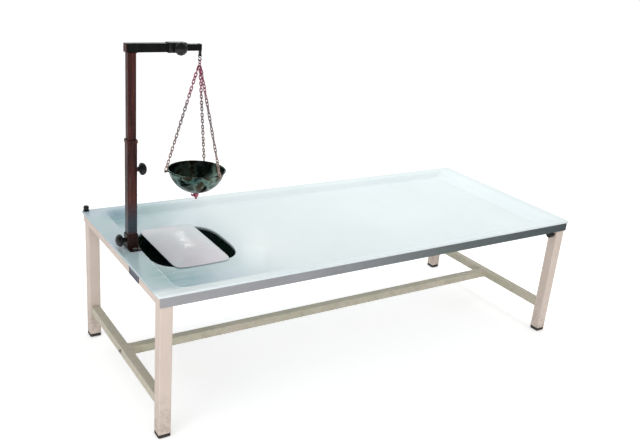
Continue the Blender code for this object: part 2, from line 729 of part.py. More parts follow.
def make_mast(lift):
    """The upper tube and the arm fixed on its top, with the arm's collar, plug and knob."""
    top = ARM_Z - ARM_SIDE / 2 - GAP
    slide = joint("mast_slide", (COLUMN_X, 0, MAST_FOOT), lift)
    mast = box_tube(
        "mast_tube", (MAST_SIDE, MAST_SIDE), TUBE_WALL, top - MAST_FOOT, 0.003, BROWN_PAINT, "Z"
    )
    place(mast, (COLUMN_X, 0, (top + MAST_FOOT) / 2), slide)
    start = COLUMN_X - MAST_SIDE / 2 - 0.002
    arm = box_tube(
        "arm_tube", (ARM_SIDE, ARM_SIDE), 0.0025, ARM_END - start, 0.003, DARK_STEEL, "X"
    )
    place(arm, ((ARM_END + start) / 2, 0, ARM_Z), slide)
    plug = slab(
        "arm_plug", (rounded_rectangle(ARM_SIDE, ARM_SIDE, 0.003),), 0.004, BROWN_PAINT, "X"
    )
    place(plug, (start - GAP - 0.002, 0, ARM_Z), slide)
    collar = box_tube(
        "arm_collar", (COLLAR_SIDE, COLLAR_SIDE), (COLLAR_SIDE - SLIDE_SIDE) / 2 - 0.0004,
        COLLAR_END - COLLAR_START, 0.005, BLACK_PLASTIC, "X",
    )
    place(collar, ((COLLAR_START + COLLAR_END) / 2, 0, ARM_Z), slide)
    # The collar is hollowed to fit over the arm, up to just past the arm's end.
    room = ARM_SIDE + 0.0008
    hollow_start, hollow_end = COLLAR_START - 0.02, ARM_END + 0.0006
    hollow = slab(
        "collar_hollow", (rounded_rectangle(room, room, 0.003),), hollow_end - hollow_start,
        None, "X",
    )
    place(hollow, ((hollow_start + hollow_end) / 2, 0, ARM_Z))
    combine(collar, hollow, "DIFFERENCE")
    face = Vector((ARM_KNOB_X, -COLLAR_SIDE / 2, ARM_Z))
    drill(collar, STUD_HOLE, face, (0, 1, 0), 0.016)
    drill(arm, STUD_HOLE, face, (0, 1, 0), 0.024)
    reach = (COLLAR_SIDE - SLIDE_SIDE) / 2 + ARM_SEAT - GAP
    make_knob("arm", face - Vector((0, ARM_SEAT, 0)), (0, -1, 0), reach, slide)
    return slide


def make_arm_slide(slide):
    """The inner arm, which draws out of the arm, with the eye lug under its end."""
    start = COLUMN_X + 0.030
    out = joint("arm_slide_axis", (start, 0, ARM_Z), slide)
    inner = box_tube(
        "arm_slide", (SLIDE_SIDE, SLIDE_SIDE), 0.0015, SLIDE_END - start, 0.0025, DARK_STEEL, "X"
    )
    place(inner, ((SLIDE_END + start) / 2, 0, ARM_Z), out)
    half = SLIDE_SIDE / 2
    top = ARM_Z + half - HOOK_EYE_Z
    neck = top - SLIDE_SIDE
    outline = [(half, top), (-half, top), (-half, neck), (-LUG_RADIUS, neck - 0.002)]
    outline += arc((0, 0), LUG_RADIUS, 180, 360, 10) + [(LUG_RADIUS, neck - 0.002), (half, neck)]
    lug = slab("hook_lug", (outline, circle(EYE_RADIUS, steps=16)), LUG_THICK, DARK_STEEL, "X")
    place(lug, (HOOK_X, 0, HOOK_EYE_Z), out)
    return out


def make_hook(out):
    """The S hook through the lug's eye, drawn about the eye's middle."""
    swing = joint("hook_swing", (HOOK_X, 0, HOOK_EYE_Z), out)
    upper = arc((0, HOOK_LOOP_Z[0]), HOOK_LOOP, -40, 180, 10)
    lower = arc((0, HOOK_LOOP_Z[1]), HOOK_LOOP, 0, -220, 10)
    middle = (HOOK_LOOP_Z[0] + HOOK_LOOP_Z[1]) / 2
    cross = [(-0.0052, -0.0105), (-0.0020, middle + 0.0007)]
    cross += [(-x, 2 * middle - z) for x, z in reversed(cross)]
    path = [(x, 0, z) for x, z in upper + cross + lower]
    hook = wire("s_hook", path, HOOK_WIRE, STAINLESS, steps=2)
    place(hook, (HOOK_X, 0, HOOK_EYE_Z), swing)
    return swing


def make_bowl(swing):
    """The ring, three chains and oil bowl that hang from the hook, and the bowl's drip tap."""
    sway = joint("bowl_swing", (HOOK_X, 0, RING_TOP_Z), swing)
    ring_z = RING_TOP_Z - RING_RADIUS
    ring = torus("hang_ring", RING_RADIUS, RING_WIRE, "X", CHAIN_METAL)
    place(ring, (HOOK_X, 0, ring_z), sway)
    ring_low = ring_z - RING_RADIUS
    eye = torus("yoke_eye", YOKE_EYE, YOKE_WIRE, "Y", None)
    place(eye, (HOOK_X, 0, ring_low + RING_WIRE + YOKE_WIRE + GAP - YOKE_EYE))
    yoke_z = ring_low - 0.0085
    yoke = turned(
        "chain_yoke",
        ((0, 0.0035), (0.0030, 0.0030), (YOKE_RADIUS, 0.0010), (YOKE_RADIUS, -0.0015),
         (0, -0.0015)),
        COPPER, steps=20,
    )
    place(yoke, (HOOK_X, 0, yoke_z), sway)
    combine(yoke, eye, "UNION")
    for name, degrees in EAR_ANGLES.items():
        a = math.radians(degrees)
        out = Vector((math.cos(a), math.sin(a), 0))
        low = Vector((HOOK_X, 0, EAR_Z)) + out * EAR_RADIUS
        high = Vector((HOOK_X, 0, yoke_z - 0.0024)) + out * 0.0042
        reach = (low - high) * (1 + 0.004 / (low - high).length)
        chain = wire(f"chain_{name}", [Vector(), reach], CHAIN_RADIUS, CHAIN_METAL, steps=1)
        place(chain, high, sway)
    bowl = make_bowl_shell()
    place(bowl, (HOOK_X, 0, BOWL_RIM_Z), sway)
    for name, degrees in EAR_ANGLES.items():
        a = math.radians(degrees)
        ear = slab(
            f"ear_{name}", (circle(0.008, steps=16), circle(0.0034, steps=12)),
            0.0026, None, "Z",
        )
        at = (HOOK_X + EAR_RADIUS * math.cos(a), EAR_RADIUS * math.sin(a), EAR_Z)
        combine(bowl, place(ear, at), "UNION")
    make_tap(sway)


def make_bowl_shell():
    """A shallow round bowl with a rolled rim, about the middle of its rim."""
    centre = BOWL_SPHERE - BOWL_DEPTH
    steps = 9
    outer, inner = [], []
    edge = math.degrees(math.acos(centre / BOWL_SPHERE))
    low = math.degrees(math.asin(TAP_HOLE / BOWL_SPHERE))
    for k in range(steps + 1):
        a = math.radians(edge + (low - edge) * k / steps)
        outer.append((BOWL_SPHERE * math.sin(a), centre - BOWL_SPHERE * math.cos(a)))
        inside = BOWL_SPHERE - BOWL_WALL
        inner.append((inside * math.sin(a), centre - inside * math.cos(a)))
    inner[-1] = (TAP_HOLE, inner[-1][1])
    rim = [(BOWL_RADIUS - 0.0016, 0.0028), (BOWL_RADIUS + 0.0022, 0.0030)]
    rim += [(BOWL_RADIUS + 0.0046, 0.0010), (BOWL_RADIUS + 0.0042, -0.0022)]
    rim += [(BOWL_RADIUS + 0.0008, -0.0030)]
    profile = rim + outer[1:] + inner[::-1]
    return turned("bowl", profile, STAINLESS, steps=40, closed=True)


def make_tap(sway):
    """The drip tap through the bowl's bottom, and its small side lever."""
    low = BOWL_RIM_Z - BOWL_DEPTH
    body = turned(
        "tap_body",
        (
            (0.013, 0.0052), (0.013, 0.0028), (TAP_HOLE - 0.0004, 0.0026),
            (TAP_HOLE - 0.0004, -0.0006), (0.0120, -0.0008), (0.0120, -0.0180),
            (0.0050, -0.0220), (0.0040, -0.0300), (0.0018, -0.0300), (0.0018, 0.0052),
        ),
        COPPER, steps=20, closed=True,
    )
    place(body, (HOOK_X, 0, low), sway)
    axis_z = low - 0.0115
    spindle_hole = (HOOK_X - 0.0080, 0, axis_z)
    drill(body, 0.0028, spindle_hole, (1, 0, 0), 0.0090)
    turn = joint("tap_turn", (HOOK_X, 0, axis_z), sway)
    lever = rod("tap_lever", 0.0024, 0.0120, COPPER, (1, 0, 0), steps=12)
    place(lever, (HOOK_X - 0.0105, 0, axis_z), turn)
    paddle = slab(
        "tap_paddle", (rounded_rectangle(0.022, 0.009, 0.004, 3),), 0.003, None, "X"
    )
    combine(lever, place(paddle, (HOOK_X - 0.0165, 0, axis_z)), "UNION")


def main():
    make_tray()
    make_basin()
    make_drain()
    make_head_rest()
    make_rails()
    make_legs()
    make_rim_fittings()
    make_socket()
    lift = make_column()
    slide = make_mast(lift)
    out = make_arm_slide(slide)
    make_bowl(make_hook(out))


main()
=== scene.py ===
"""The looks of the dhara table: a white moulded tray with a dark basin and head rest on an ivory
tube frame, and a dark telescopic stand that hangs a polished oil bowl on three link chains.

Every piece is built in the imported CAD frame: metres, +X to the foot end, +Y to the far side, +Z up.
"""

import json
import math

import bmesh
import bpy
from mathutils import Matrix, Vector

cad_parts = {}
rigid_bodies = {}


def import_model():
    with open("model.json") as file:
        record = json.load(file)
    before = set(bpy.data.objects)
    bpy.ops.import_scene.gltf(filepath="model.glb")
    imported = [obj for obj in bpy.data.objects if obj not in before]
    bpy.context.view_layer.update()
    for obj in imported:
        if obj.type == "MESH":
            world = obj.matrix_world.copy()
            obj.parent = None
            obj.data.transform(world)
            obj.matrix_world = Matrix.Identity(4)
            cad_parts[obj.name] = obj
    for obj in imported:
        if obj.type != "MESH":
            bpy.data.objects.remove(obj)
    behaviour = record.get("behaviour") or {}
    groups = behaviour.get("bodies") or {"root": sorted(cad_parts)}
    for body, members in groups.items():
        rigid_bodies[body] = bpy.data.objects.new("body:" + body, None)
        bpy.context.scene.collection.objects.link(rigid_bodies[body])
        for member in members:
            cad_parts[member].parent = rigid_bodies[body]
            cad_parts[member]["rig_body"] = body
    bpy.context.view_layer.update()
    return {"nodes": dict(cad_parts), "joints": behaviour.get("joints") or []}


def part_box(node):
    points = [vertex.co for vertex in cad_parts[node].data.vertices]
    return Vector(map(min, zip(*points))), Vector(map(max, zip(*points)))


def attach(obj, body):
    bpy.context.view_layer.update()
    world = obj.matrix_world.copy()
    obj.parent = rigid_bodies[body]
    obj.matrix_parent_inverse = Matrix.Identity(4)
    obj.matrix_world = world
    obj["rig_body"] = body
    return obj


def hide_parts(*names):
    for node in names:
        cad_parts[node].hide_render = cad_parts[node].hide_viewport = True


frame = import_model()


# Places, read from the frame


def low(node):
    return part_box(node)[0]


def high(node):
    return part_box(node)[1]


def middle(node):
    return (low(node) + high(node)) / 2


def rod_ends(node):
    """The middles of a rod node's upper and lower ends."""
    points = [v.co for v in frame["nodes"][node].data.vertices]
    points = sorted(points, key=lambda p: p.z)
    count = max(1, len(points) // 4)
    lower = sum(points[:count], Vector()) / count
    upper = sum(points[-count:], Vector()) / count
    return upper, lower


def joint_point(name):
    return Vector(next(j for j in frame["joints"] if j["name"] == name)["pos_m"])


RIM_Z = high("tray").z
HEAD_X = low("tray").x
FOOT_X = high("tray").x
HALF_LENGTH = (FOOT_X - HEAD_X) / 2
HALF_WIDTH = high("tray").y
COLUMN = middle("column_tube")
HOOK_EYE = joint_point("hook_swing")
BOWL_AXIS = Vector((HOOK_EYE.x, HOOK_EYE.y, 0))
EAR_Z = high("bowl").z - 0.005

SEAM = 0.0003  # between CAD pieces that touch

# The tray's section, as moulded
SHELL = 0.004
TRAY_DEPTH = 0.030
FLOOR_Z = RIM_Z - TRAY_DEPTH
RIM = {"head": 0.086, "foot": 0.034, "side": 0.034}
SLOPE = {"head": 0.014, "foot": 0.100, "side": 0.045}
LIP_DROP = 0.009
BASIN_X = middle("basin").x
# Painted shade on the tray floor, pooled in the two corners of the head end
CORNER_SHADE_POOLS = (
    (Vector((HEAD_X + 0.150, -0.290, FLOOR_Z)), 0.150),
    (Vector((HEAD_X + 0.140, 0.350, FLOOR_Z)), 0.100),
)
OPENING = (0.1845, 0.195)  # half sizes of the basin opening
OPENING_POWER = 3.4  # of its superellipse


# Mesh tools


class Shape:
    """Points and faces of one mesh, built ring by ring."""

    def __init__(self):
        self.points = []
        self.faces = []

    def ring(self, points):
        start = len(self.points)
        self.points += [tuple(p) for p in points]
        return list(range(start, len(self.points)))

    def bridge(self, first, second):
        count = len(first)
        for k in range(count):
            after = (k + 1) % count
            self.faces.append((first[k], second[k], second[after], first[after]))

    def cap(self, ring):
        self.faces.append(tuple(ring))

    def skin(self, rings):
        made = [self.ring(points) for points in rings]
        for first, second in zip(made, made[1:]):
            self.bridge(first, second)
        return made

    def rings(self, rings, caps=True, loop=False):
        made = self.skin(rings)
        if loop:
            self.bridge(made[-1], made[0])
        elif caps:
            self.cap(made[0])
            self.cap(made[-1])
        return self


def soften(mesh, degrees):
    mesh.shade_smooth()
    mesh.set_sharp_from_angle(angle=math.radians(degrees))


def piece(name, shape, material, body, replaced=(), angle=40, keep_normals=False):
    """Makes a mesh object from a shape and rides it on a CAD body."""
    mesh = bpy.data.meshes.new(name)
    mesh.from_pydata(shape.points, [], shape.faces)
    if not keep_normals:
        bm = bmesh.new()
        bm.from_mesh(mesh)
        bmesh.ops.recalc_face_normals(bm, faces=bm.faces)
        bm.to_mesh(mesh)
        bm.free()
    soften(mesh, angle)
    return mount(bpy.data.objects.new(name, mesh), material, body, replaced)


def mount(obj, material, body, replaced=()):
    bpy.context.scene.collection.objects.link(obj)
    obj.data.materials.clear()
    obj.data.materials.append(material)
    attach(obj, body)
    if replaced:
        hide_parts(*replaced)
    return obj


def round_edges(obj, width, angle=30):
    edge = obj.modifiers.new("edge", "BEVEL")
    edge.width = width
    edge.segments = 2
    edge.limit_method = "ANGLE"
    edge.angle_limit = math.radians(angle)


def refined(node, material, bevel, angle=50):
    """A CAD node's own shape, welded and given rounded edges, in place of the bare node."""
    source = frame["nodes"][node]
    mesh = source.data.copy()
    bm = bmesh.new()
    bm.from_mesh(mesh)
    bmesh.ops.remove_doubles(bm, verts=bm.verts, dist=1e-6)
    bmesh.ops.dissolve_limit(
        bm, angle_limit=math.radians(1), verts=bm.verts, edges=bm.edges, delimit={"NORMAL"}
    )
    bm.to_mesh(mesh)
    bm.free()
    mesh.materials.clear()
    soften(mesh, angle)
    made = bpy.data.objects.new(f"{node}_finish", mesh)
    body = source["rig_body"]
    mount(made, material, body, (node,))
    round_edges(made, bevel, angle)
    weigh = made.modifiers.new("weigh", "WEIGHTED_NORMAL")
    weigh.keep_sharp = True


def arc(cx, cz, radius, start, end, steps):
    """Points (x, z) of an arc, from start to end in degrees."""
    turns = (math.radians(start + (end - start) * k / steps) for k in range(steps + 1))
    return [(cx + radius * math.cos(t), cz + radius * math.sin(t)) for t in turns]


def rounded_rectangle(half_x, half_y, radius, steps=8):
    points = []
    for quarter, (sx, sy) in enumerate(((1, 1), (-1, 1), (-1, -1), (1, -1))):
        centre = (sx * (half_x - radius), sy * (half_y - radius))
        points += arc(*centre, radius, 90 * quarter, 90 * quarter + 90, steps)
    return points


def basis(along):
    """A turn that takes local +Z to a direction."""
    return Vector(along).to_track_quat("Z", "Y").to_matrix()


def lathe(profile, at, along=(0, 0, 1), steps=48, wave=None, closed=False):
    """A turned shape from (radius, height) points, about an axis through a point.

    wave, if given, scales the radius from the height and the angle."""
    turn = basis(along)
    rings = []
    for radius, height in profile:
        ring = []
        for k in range(steps):
            a = 2 * math.pi * k / steps
            r = max(radius, 1e-5) * (wave(radius, height, a) if wave else 1)
            ring.append(Vector(at) + turn @ Vector((r * math.cos(a), r * math.sin(a), height)))
        rings.append(ring)
    return Shape().rings(rings, loop=closed, caps=not closed)


def sweep(path, radius, sides=12, closed=False, shape=None):
    """Adds a round bar along a path. radius is a number or a function of the place, 0 to 1."""
    shape = shape or Shape()
    path = [Vector(p) for p in path]
    count = len(path)
    size = radius if callable(radius) else (lambda t: radius)
    rings = []
    normal = None
    for k, at in enumerate(path):
        before = path[k - 1] if (k or closed) else path[0]
        after = path[(k + 1) % count] if (k < count - 1 or closed) else path[-1]
        tangent = (after - before).normalized()
        if normal is None:
            normal = tangent.orthogonal().normalized()
        normal = (normal - tangent * normal.dot(tangent)).normalized()
        side = tangent.cross(normal)
        r = size(k / max(count - 1, 1))
        rings.append([
            at + (normal * math.cos(a) + side * math.sin(a)) * r
            for a in (2 * math.pi * j / sides for j in range(sides))
        ])
    if closed:
        # A flat closed path brings the first normal back to itself, so the ends meet squarely.
        return shape.rings(rings, loop=True)
    return shape.rings(rings)


# Materials


class Finish:
    """A procedural material under construction: a Principled surface with noise-driven inputs."""

    def __init__(self, name, metallic=0.0, roughness=0.4):
        self.material = bpy.data.materials.new(name)
        self.material.use_nodes = True
        tree = self.material.node_tree
        self.nodes, self.links = tree.nodes, tree.links
        self.surface = self.nodes["Principled BSDF"]
        self.surface.inputs["Metallic"].default_value = metallic
        self.surface.inputs["Roughness"].default_value = roughness
        self.place = self.nodes.new("ShaderNodeTexCoord").outputs["Object"]
        self.height = None

    def set(self, name, value):
        self.surface.inputs[name].default_value = value
        return self

    def scaled(self, scale):
        mapping = self.nodes.new("ShaderNodeMapping")
        mapping.inputs["Scale"].default_value = scale
        self.links.new(self.place, mapping.inputs["Vector"])
        return mapping.outputs["Vector"]

    def noise(self, scale, detail=3.0, rough=0.5, stretch=(1, 1, 1)):
        made = self.nodes.new("ShaderNodeTexNoise")
        made.inputs["Scale"].default_value = scale
        made.inputs["Detail"].default_value = detail
        made.inputs["Roughness"].default_value = rough
        self.links.new(self.scaled(stretch), made.inputs["Vector"])
        return made.outputs["Fac"]

    def ramp(self, value, stops):
        """Maps a value through (place, colour) stops."""
        made = self.nodes.new("ShaderNodeValToRGB")
        elements = made.color_ramp.elements
        while len(elements) < len(stops):
            elements.new(0.5)
        for element, (place, colour) in zip(elements, stops):
            element.position = place
            element.color = (*colour, 1.0)
        self.links.new(value, made.inputs["Fac"])
        return made.outputs["Color"]

    def span(self, value, low_out, high_out, low_in=0.3, high_in=0.7):
        made = self.nodes.new("ShaderNodeMapRange")
        made.inputs["From Min"].default_value = low_in
        made.inputs["From Max"].default_value = high_in
        made.inputs["To Min"].default_value = low_out
        made.inputs["To Max"].default_value = high_out
        self.links.new(value, made.inputs["Value"])
        return made.outputs["Result"]

    def product(self, first, second):
        made = self.nodes.new("ShaderNodeMath")
        made.operation = "MULTIPLY"
        self.links.new(first, made.inputs[0])
        self.links.new(second, made.inputs[1])
        return made.outputs[0]

    def vector(self, operation, value, constant=(0, 0, 0)):
        made = self.nodes.new("ShaderNodeVectorMath")
        made.operation = operation
        made.inputs[1].default_value = constant
        self.links.new(value, made.inputs[0])
        return made

    def near(self, middle, radius):
        """One at a point, falling to nothing at a distance from it."""
        away = self.vector("DISTANCE", self.place, middle)
        return self.span(away.outputs["Value"], 1.0, 0.0, radius * 0.35, radius)

    def along(self, axis):
        split = self.nodes.new("ShaderNodeSeparateXYZ")
        self.links.new(self.place, split.inputs["Vector"])
        return split.outputs[axis]

    def mix(self, first, second, factor, blend="MIX"):
        """Mixes two colours, each an output or a tuple."""
        made = self.nodes.new("ShaderNodeMix")
        made.data_type = "RGBA"
        made.blend_type = blend
        for value, key in ((factor, "Factor"), (first, "A"), (second, "B")):
            target = next(s for s in made.inputs if s.name == key and s.enabled)
            if isinstance(value, tuple):
                target.default_value = (*value, 1.0)
            elif isinstance(value, (int, float)):
                target.default_value = value
            else:
                self.links.new(value, target)
        return next(s for s in made.outputs if s.enabled)

    def colour(self, value):
        if isinstance(value, tuple):
            self.surface.inputs["Base Color"].default_value = (*value, 1.0)
        else:
            self.links.new(value, self.surface.inputs["Base Color"])

    def drive(self, name, value):
        self.links.new(value, self.surface.inputs[name])

    def bump(self, value, depth):
        """Adds a relief. depth is in metres."""
        made = self.nodes.new("ShaderNodeBump")
        made.inputs["Strength"].default_value = 1.0
        made.inputs["Distance"].default_value = depth
        self.links.new(value, made.inputs["Height"])
        if self.height is not None:
            self.links.new(self.height, made.inputs["Normal"])
        self.height = made.outputs["Normal"]
        self.links.new(self.height, self.surface.inputs["Normal"])


def white_gelcoat():
    """Glossy white moulding with a blue-green cast, and painted shade over the head end around the
    basin and pooled in its two corners.
    """
    f = Finish("white_gelcoat_look")
    cloud = f.noise(2.2, 4)
    tint = f.ramp(cloud, [
        (0.30, (0.765, 0.845, 0.865)), (0.55, (0.80, 0.875, 0.89)), (0.75, (0.83, 0.885, 0.895)),
    ])
    haze = f.ramp(f.noise(9, 5, 0.6), [(0.45, (1, 1, 1)), (0.80, (0.955, 0.965, 0.955))])
    unshaded = f.mix(tint, haze, 1.0, "MULTIPLY")
    # Painted shade over the head end around the basin: it fades towards the foot and is kept off the
    # near rim.
    head_shade_noise = f.noise(5, 3, 0.6, stretch=(0.7, 1.6, 1))
    head_shade = f.ramp(head_shade_noise, [(0.38, (0.57, 0.68, 0.69)), (0.62, (0.63, 0.69, 0.76))])
    reach = f.span(f.along("X"), 1.0, 0.0, BASIN_X - 0.02, BASIN_X + 0.30)
    inside = f.span(f.along("Y"), 0.0, 1.0, -HALF_WIDTH + 0.025, -HALF_WIDTH + 0.060)
    shaded_tone = f.mix(unshaded, f.mix(unshaded, head_shade, 1.0, "MULTIPLY"), f.product(reach, inside))
    # Streaky painted shade, pooled in the two corners of the head end.
    corner_shade_noise = f.noise(16, 5, 0.65, stretch=(0.35, 2.2, 1))
    corner_shade = f.ramp(corner_shade_noise, [(0.30, (0.42, 0.62, 0.64)), (0.66, (0.72, 0.83, 0.84))])
    with_corner_shade = f.mix(shaded_tone, corner_shade, 1.0, "MULTIPLY")
    for middle, radius in CORNER_SHADE_POOLS:
        shaded_tone = f.mix(shaded_tone, with_corner_shade, f.near(middle, radius))
    f.colour(shaded_tone)
    f.drive("Roughness", f.span(f.noise(30, 6, 0.7), 0.13, 0.26))
    f.set("Coat Weight", 0.35).set("Coat Roughness", 0.06).set("IOR", 1.52)
    f.bump(f.noise(7, 1), 0.0012)
    f.bump(f.noise(260, 2, stretch=(1, 0.35, 1)), 0.00002)
    return f.material


def pad_gelcoat():
    f = Finish("pad_gelcoat_look")
    tint = f.ramp(f.noise(6, 4), [(0.36, (0.60, 0.685, 0.70)), (0.62, (0.70, 0.675, 0.72))])
    f.colour(tint)
    f.drive("Roughness", f.span(f.noise(40, 5, 0.7), 0.16, 0.30))
    f.set("Coat Weight", 0.5).set("Coat Roughness", 0.20)
    f.bump(f.noise(14, 1), 0.0003)
    f.bump(f.noise(420, 2), 0.000015)
    return f.material


def dark_gelcoat():
    f = Finish("dark_gelcoat_look")
    f.colour(f.ramp(f.noise(14, 5), [(0.3, (0.006, 0.020, 0.016)), (0.7, (0.016, 0.042, 0.032))]))
    f.drive("Roughness", f.span(f.noise(22, 5, 0.7), 0.12, 0.42))
    f.set("Coat Weight", 0.4).set("Coat Roughness", 0.12)
    f.bump(f.noise(30, 2), 0.0005)
    return f.material


def ivory_paint(name, darker, lighter):
    """Satin powder coat with orange peel, scuffs near the floor and a few chips."""
    f = Finish(name)
    body = f.ramp(f.noise(5, 4), [(0.3, darker), (0.7, lighter)])
    height = f.along("Z")
    grime_mask = f.span(height, 1.0, 0.0, 0.02, 0.22)
    grime_noise = f.span(f.noise(38, 6, 0.65), 0.0, 1.0, 0.45, 0.75)
    dirty = f.mix(body, (0.33, 0.27, 0.22), f.product(grime_mask, grime_noise))
    chips = f.ramp(f.noise(210, 3, 0.6), [(0.735, (0, 0, 0)), (0.755, (1, 1, 1))])
    f.colour(f.mix(dirty, (0.20, 0.16, 0.14), chips))
    f.drive("Roughness", f.span(f.noise(60, 4), 0.34, 0.50))
    f.bump(f.noise(750, 2), 0.00006)
    f.bump(f.noise(30, 2), 0.0001)
    return f.material


def grey_trim():
    """Brushed strip with painted shade and reflection: grey at the head end, darkening towards the
    foot end.
    """
    f = Finish("grey_trim_look", metallic=0.75)
    place = f.span(f.along("X"), 0.0, 1.0, HEAD_X, FOOT_X)
    # Painted shade and reflection along the strip, from grey at the head end to dark grey at the foot
    # end.
    shade = f.ramp(place, [
        (0.0, (0.50, 0.50, 0.52)), (0.30, (0.40, 0.41, 0.43)), (0.62, (0.18, 0.21, 0.21)),
        (1.0, (0.085, 0.11, 0.12)),
    ])
    marks = f.noise(60, 5, 0.6, stretch=(0.12, 1, 18))
    streak = f.ramp(marks, [(0.3, (0.80, 0.80, 0.80)), (0.7, (1, 1, 1))])
    f.colour(f.mix(shade, streak, 1.0, "MULTIPLY"))
    f.drive("Roughness", f.span(f.noise(25, 5), 0.28, 0.44))
    f.bump(f.noise(300, 4, stretch=(0.05, 1, 6)), 0.00003)
    return f.material


def stand_paint(name, lower, upper, tray_reflection=False, scratches=True):
    """Dark stoving paint with lengthwise rubbing marks. A bluish band low on the column is a painted
    reflection of the white tray.
    """
    f = Finish(name, metallic=0.35)
    streak = f.noise(55, 6, 0.6, stretch=(1, 1, 0.08))
    body = f.ramp(streak, [(0.34, lower), (0.66, upper)])
    if tray_reflection:
        # Painted reflection of the white tray: a bluish band low on the column, just above the rim.
        height = f.along("Z")
        above = f.span(height, 0.0, 1.0, RIM_Z + 0.055, RIM_Z + 0.075)
        below = f.span(height, 1.0, 0.0, RIM_Z + 0.105, RIM_Z + 0.205)
        body = f.mix(body, (0.048, 0.062, 0.076), f.product(above, below))
    if scratches:
        rubbed = f.noise(120, 4, 0.6, stretch=(1, 1, 0.03))
        rub = f.ramp(rubbed, [(0.66, (0, 0, 0)), (0.80, (1, 1, 1))])
        body = f.mix(body, (0.20, 0.17, 0.15), rub)
    f.colour(body)
    f.drive("Roughness", f.span(f.noise(45, 5), 0.22, 0.42))
    f.set("Specular IOR Level", 0.25)
    f.bump(f.noise(500, 2), 0.00004)
    return f.material


def black_plastic():
    f = Finish("black_plastic_look")
    f.colour(f.ramp(f.noise(40, 4), [(0.3, (0.006, 0.006, 0.007)), (0.7, (0.015, 0.014, 0.015))]))
    f.drive("Roughness", f.span(f.noise(90, 4), 0.26, 0.42))
    f.bump(f.noise(1400, 2), 0.00004)
    return f.material


def foot_rubber():
    f = Finish("foot_rubber_look")
    dust = f.span(f.along("Z"), 1.0, 0.0, 0.0, 0.016)
    body = f.ramp(f.noise(70, 5), [(0.3, (0.010, 0.010, 0.010)), (0.7, (0.024, 0.022, 0.021))])
    f.colour(f.mix(body, (0.09, 0.08, 0.07), dust))
    f.drive("Roughness", f.span(f.noise(50, 4), 0.55, 0.75))
    f.bump(f.noise(900, 3), 0.00008)
    return f.material


def oily_steel():
    return steel("oily_steel_look", (0.030, 0.040, 0.034), (0.060, 0.075, 0.064), (0.30, 0.50))


def steel(name, dark, light, roughness, stretch=(1, 1, 1), scale=60):
    """Bare metal with fine directional marks."""
    f = Finish(name, metallic=1.0)
    f.colour(f.ramp(f.noise(scale, 5, 0.6, stretch=stretch), [(0.3, dark), (0.7, light)]))
    f.drive("Roughness", f.span(f.noise(scale * 2, 4), roughness[0], roughness[1]))
    f.bump(f.noise(scale * 6, 3, stretch=stretch), 0.00002)
    return f.material


def bowl_steel():
    """Spun, polished stainless: rings about the bowl's axis, fingerprint smears in the roughness, and
    painted reflections in its greenish colour.
    """
    f = Finish("bowl_steel_look", metallic=1.0)
    centred = f.vector("SUBTRACT", f.place, BOWL_AXIS)
    flat = f.vector("MULTIPLY", centred.outputs["Vector"], (1, 1, 0))
    length = f.vector("LENGTH", flat.outputs["Vector"])
    rings = f.nodes.new("ShaderNodeTexNoise")
    rings.noise_dimensions = "1D"
    rings.inputs["Scale"].default_value = 900
    rings.inputs["Detail"].default_value = 4
    f.links.new(length.outputs["Value"], rings.inputs["W"])
    reflection_and_smear = f.noise(13, 3, 0.5)
    # Painted reflections: greenish dark metal with a light green patch and brown and dark patches,
    # laid by the same noise as the smears.
    tint = f.ramp(reflection_and_smear, [
        (0.34, (0.016, 0.028, 0.022)), (0.45, (0.045, 0.075, 0.060)), (0.53, (0.24, 0.34, 0.29)),
        (0.58, (0.085, 0.080, 0.045)), (0.70, (0.040, 0.018, 0.018)),
    ])
    f.colour(tint)
    f.drive("Roughness", f.span(reflection_and_smear, 0.08, 0.20))
    f.bump(rings.outputs["Fac"], 0.00002)
    f.bump(f.noise(22, 1), 0.0005)
    return f.material


def chain_metal():
    """Plated links, copper-pink near the hook and grey-brown lower down."""
    f = Finish("chain_metal_look", metallic=0.45)
    top = HOOK_EYE.z
    place = f.span(f.along("Z"), 0.0, 1.0, top - 0.46, top - 0.05)
    shade = f.ramp(place, [
        (0.0, (0.62, 0.46, 0.40)), (0.30, (0.46, 0.35, 0.35)), (0.58, (0.30, 0.27, 0.29)),
        (0.78, (0.54, 0.23, 0.31)), (1.0, (0.46, 0.08, 0.18)),
    ])
    wear = f.ramp(f.noise(150, 4, 0.6), [(0.35, (0.66, 0.64, 0.62)), (0.65, (1, 1, 1))])
    f.colour(f.mix(shade, wear, 1.0, "MULTIPLY"))
    f.drive("Roughness", f.span(f.noise(220, 3), 0.30, 0.48))
    return f.material


def plate_finish():
    f = Finish("plate_look", metallic=0.5)
    grain = f.noise(60, 4, stretch=(1, 0.2, 1))
    f.colour(f.ramp(grain, [(0.3, (0.075, 0.080, 0.12)), (0.7, (0.12, 0.12, 0.17))]))
    f.drive("Roughness", f.span(f.noise(80, 3), 0.30, 0.45))
    return f.material


WHITE = white_gelcoat()
PAD = pad_gelcoat()
DARK = dark_gelcoat()
IVORY = ivory_paint("ivory_paint_look", (0.66, 0.55, 0.48), (0.73, 0.62, 0.55))
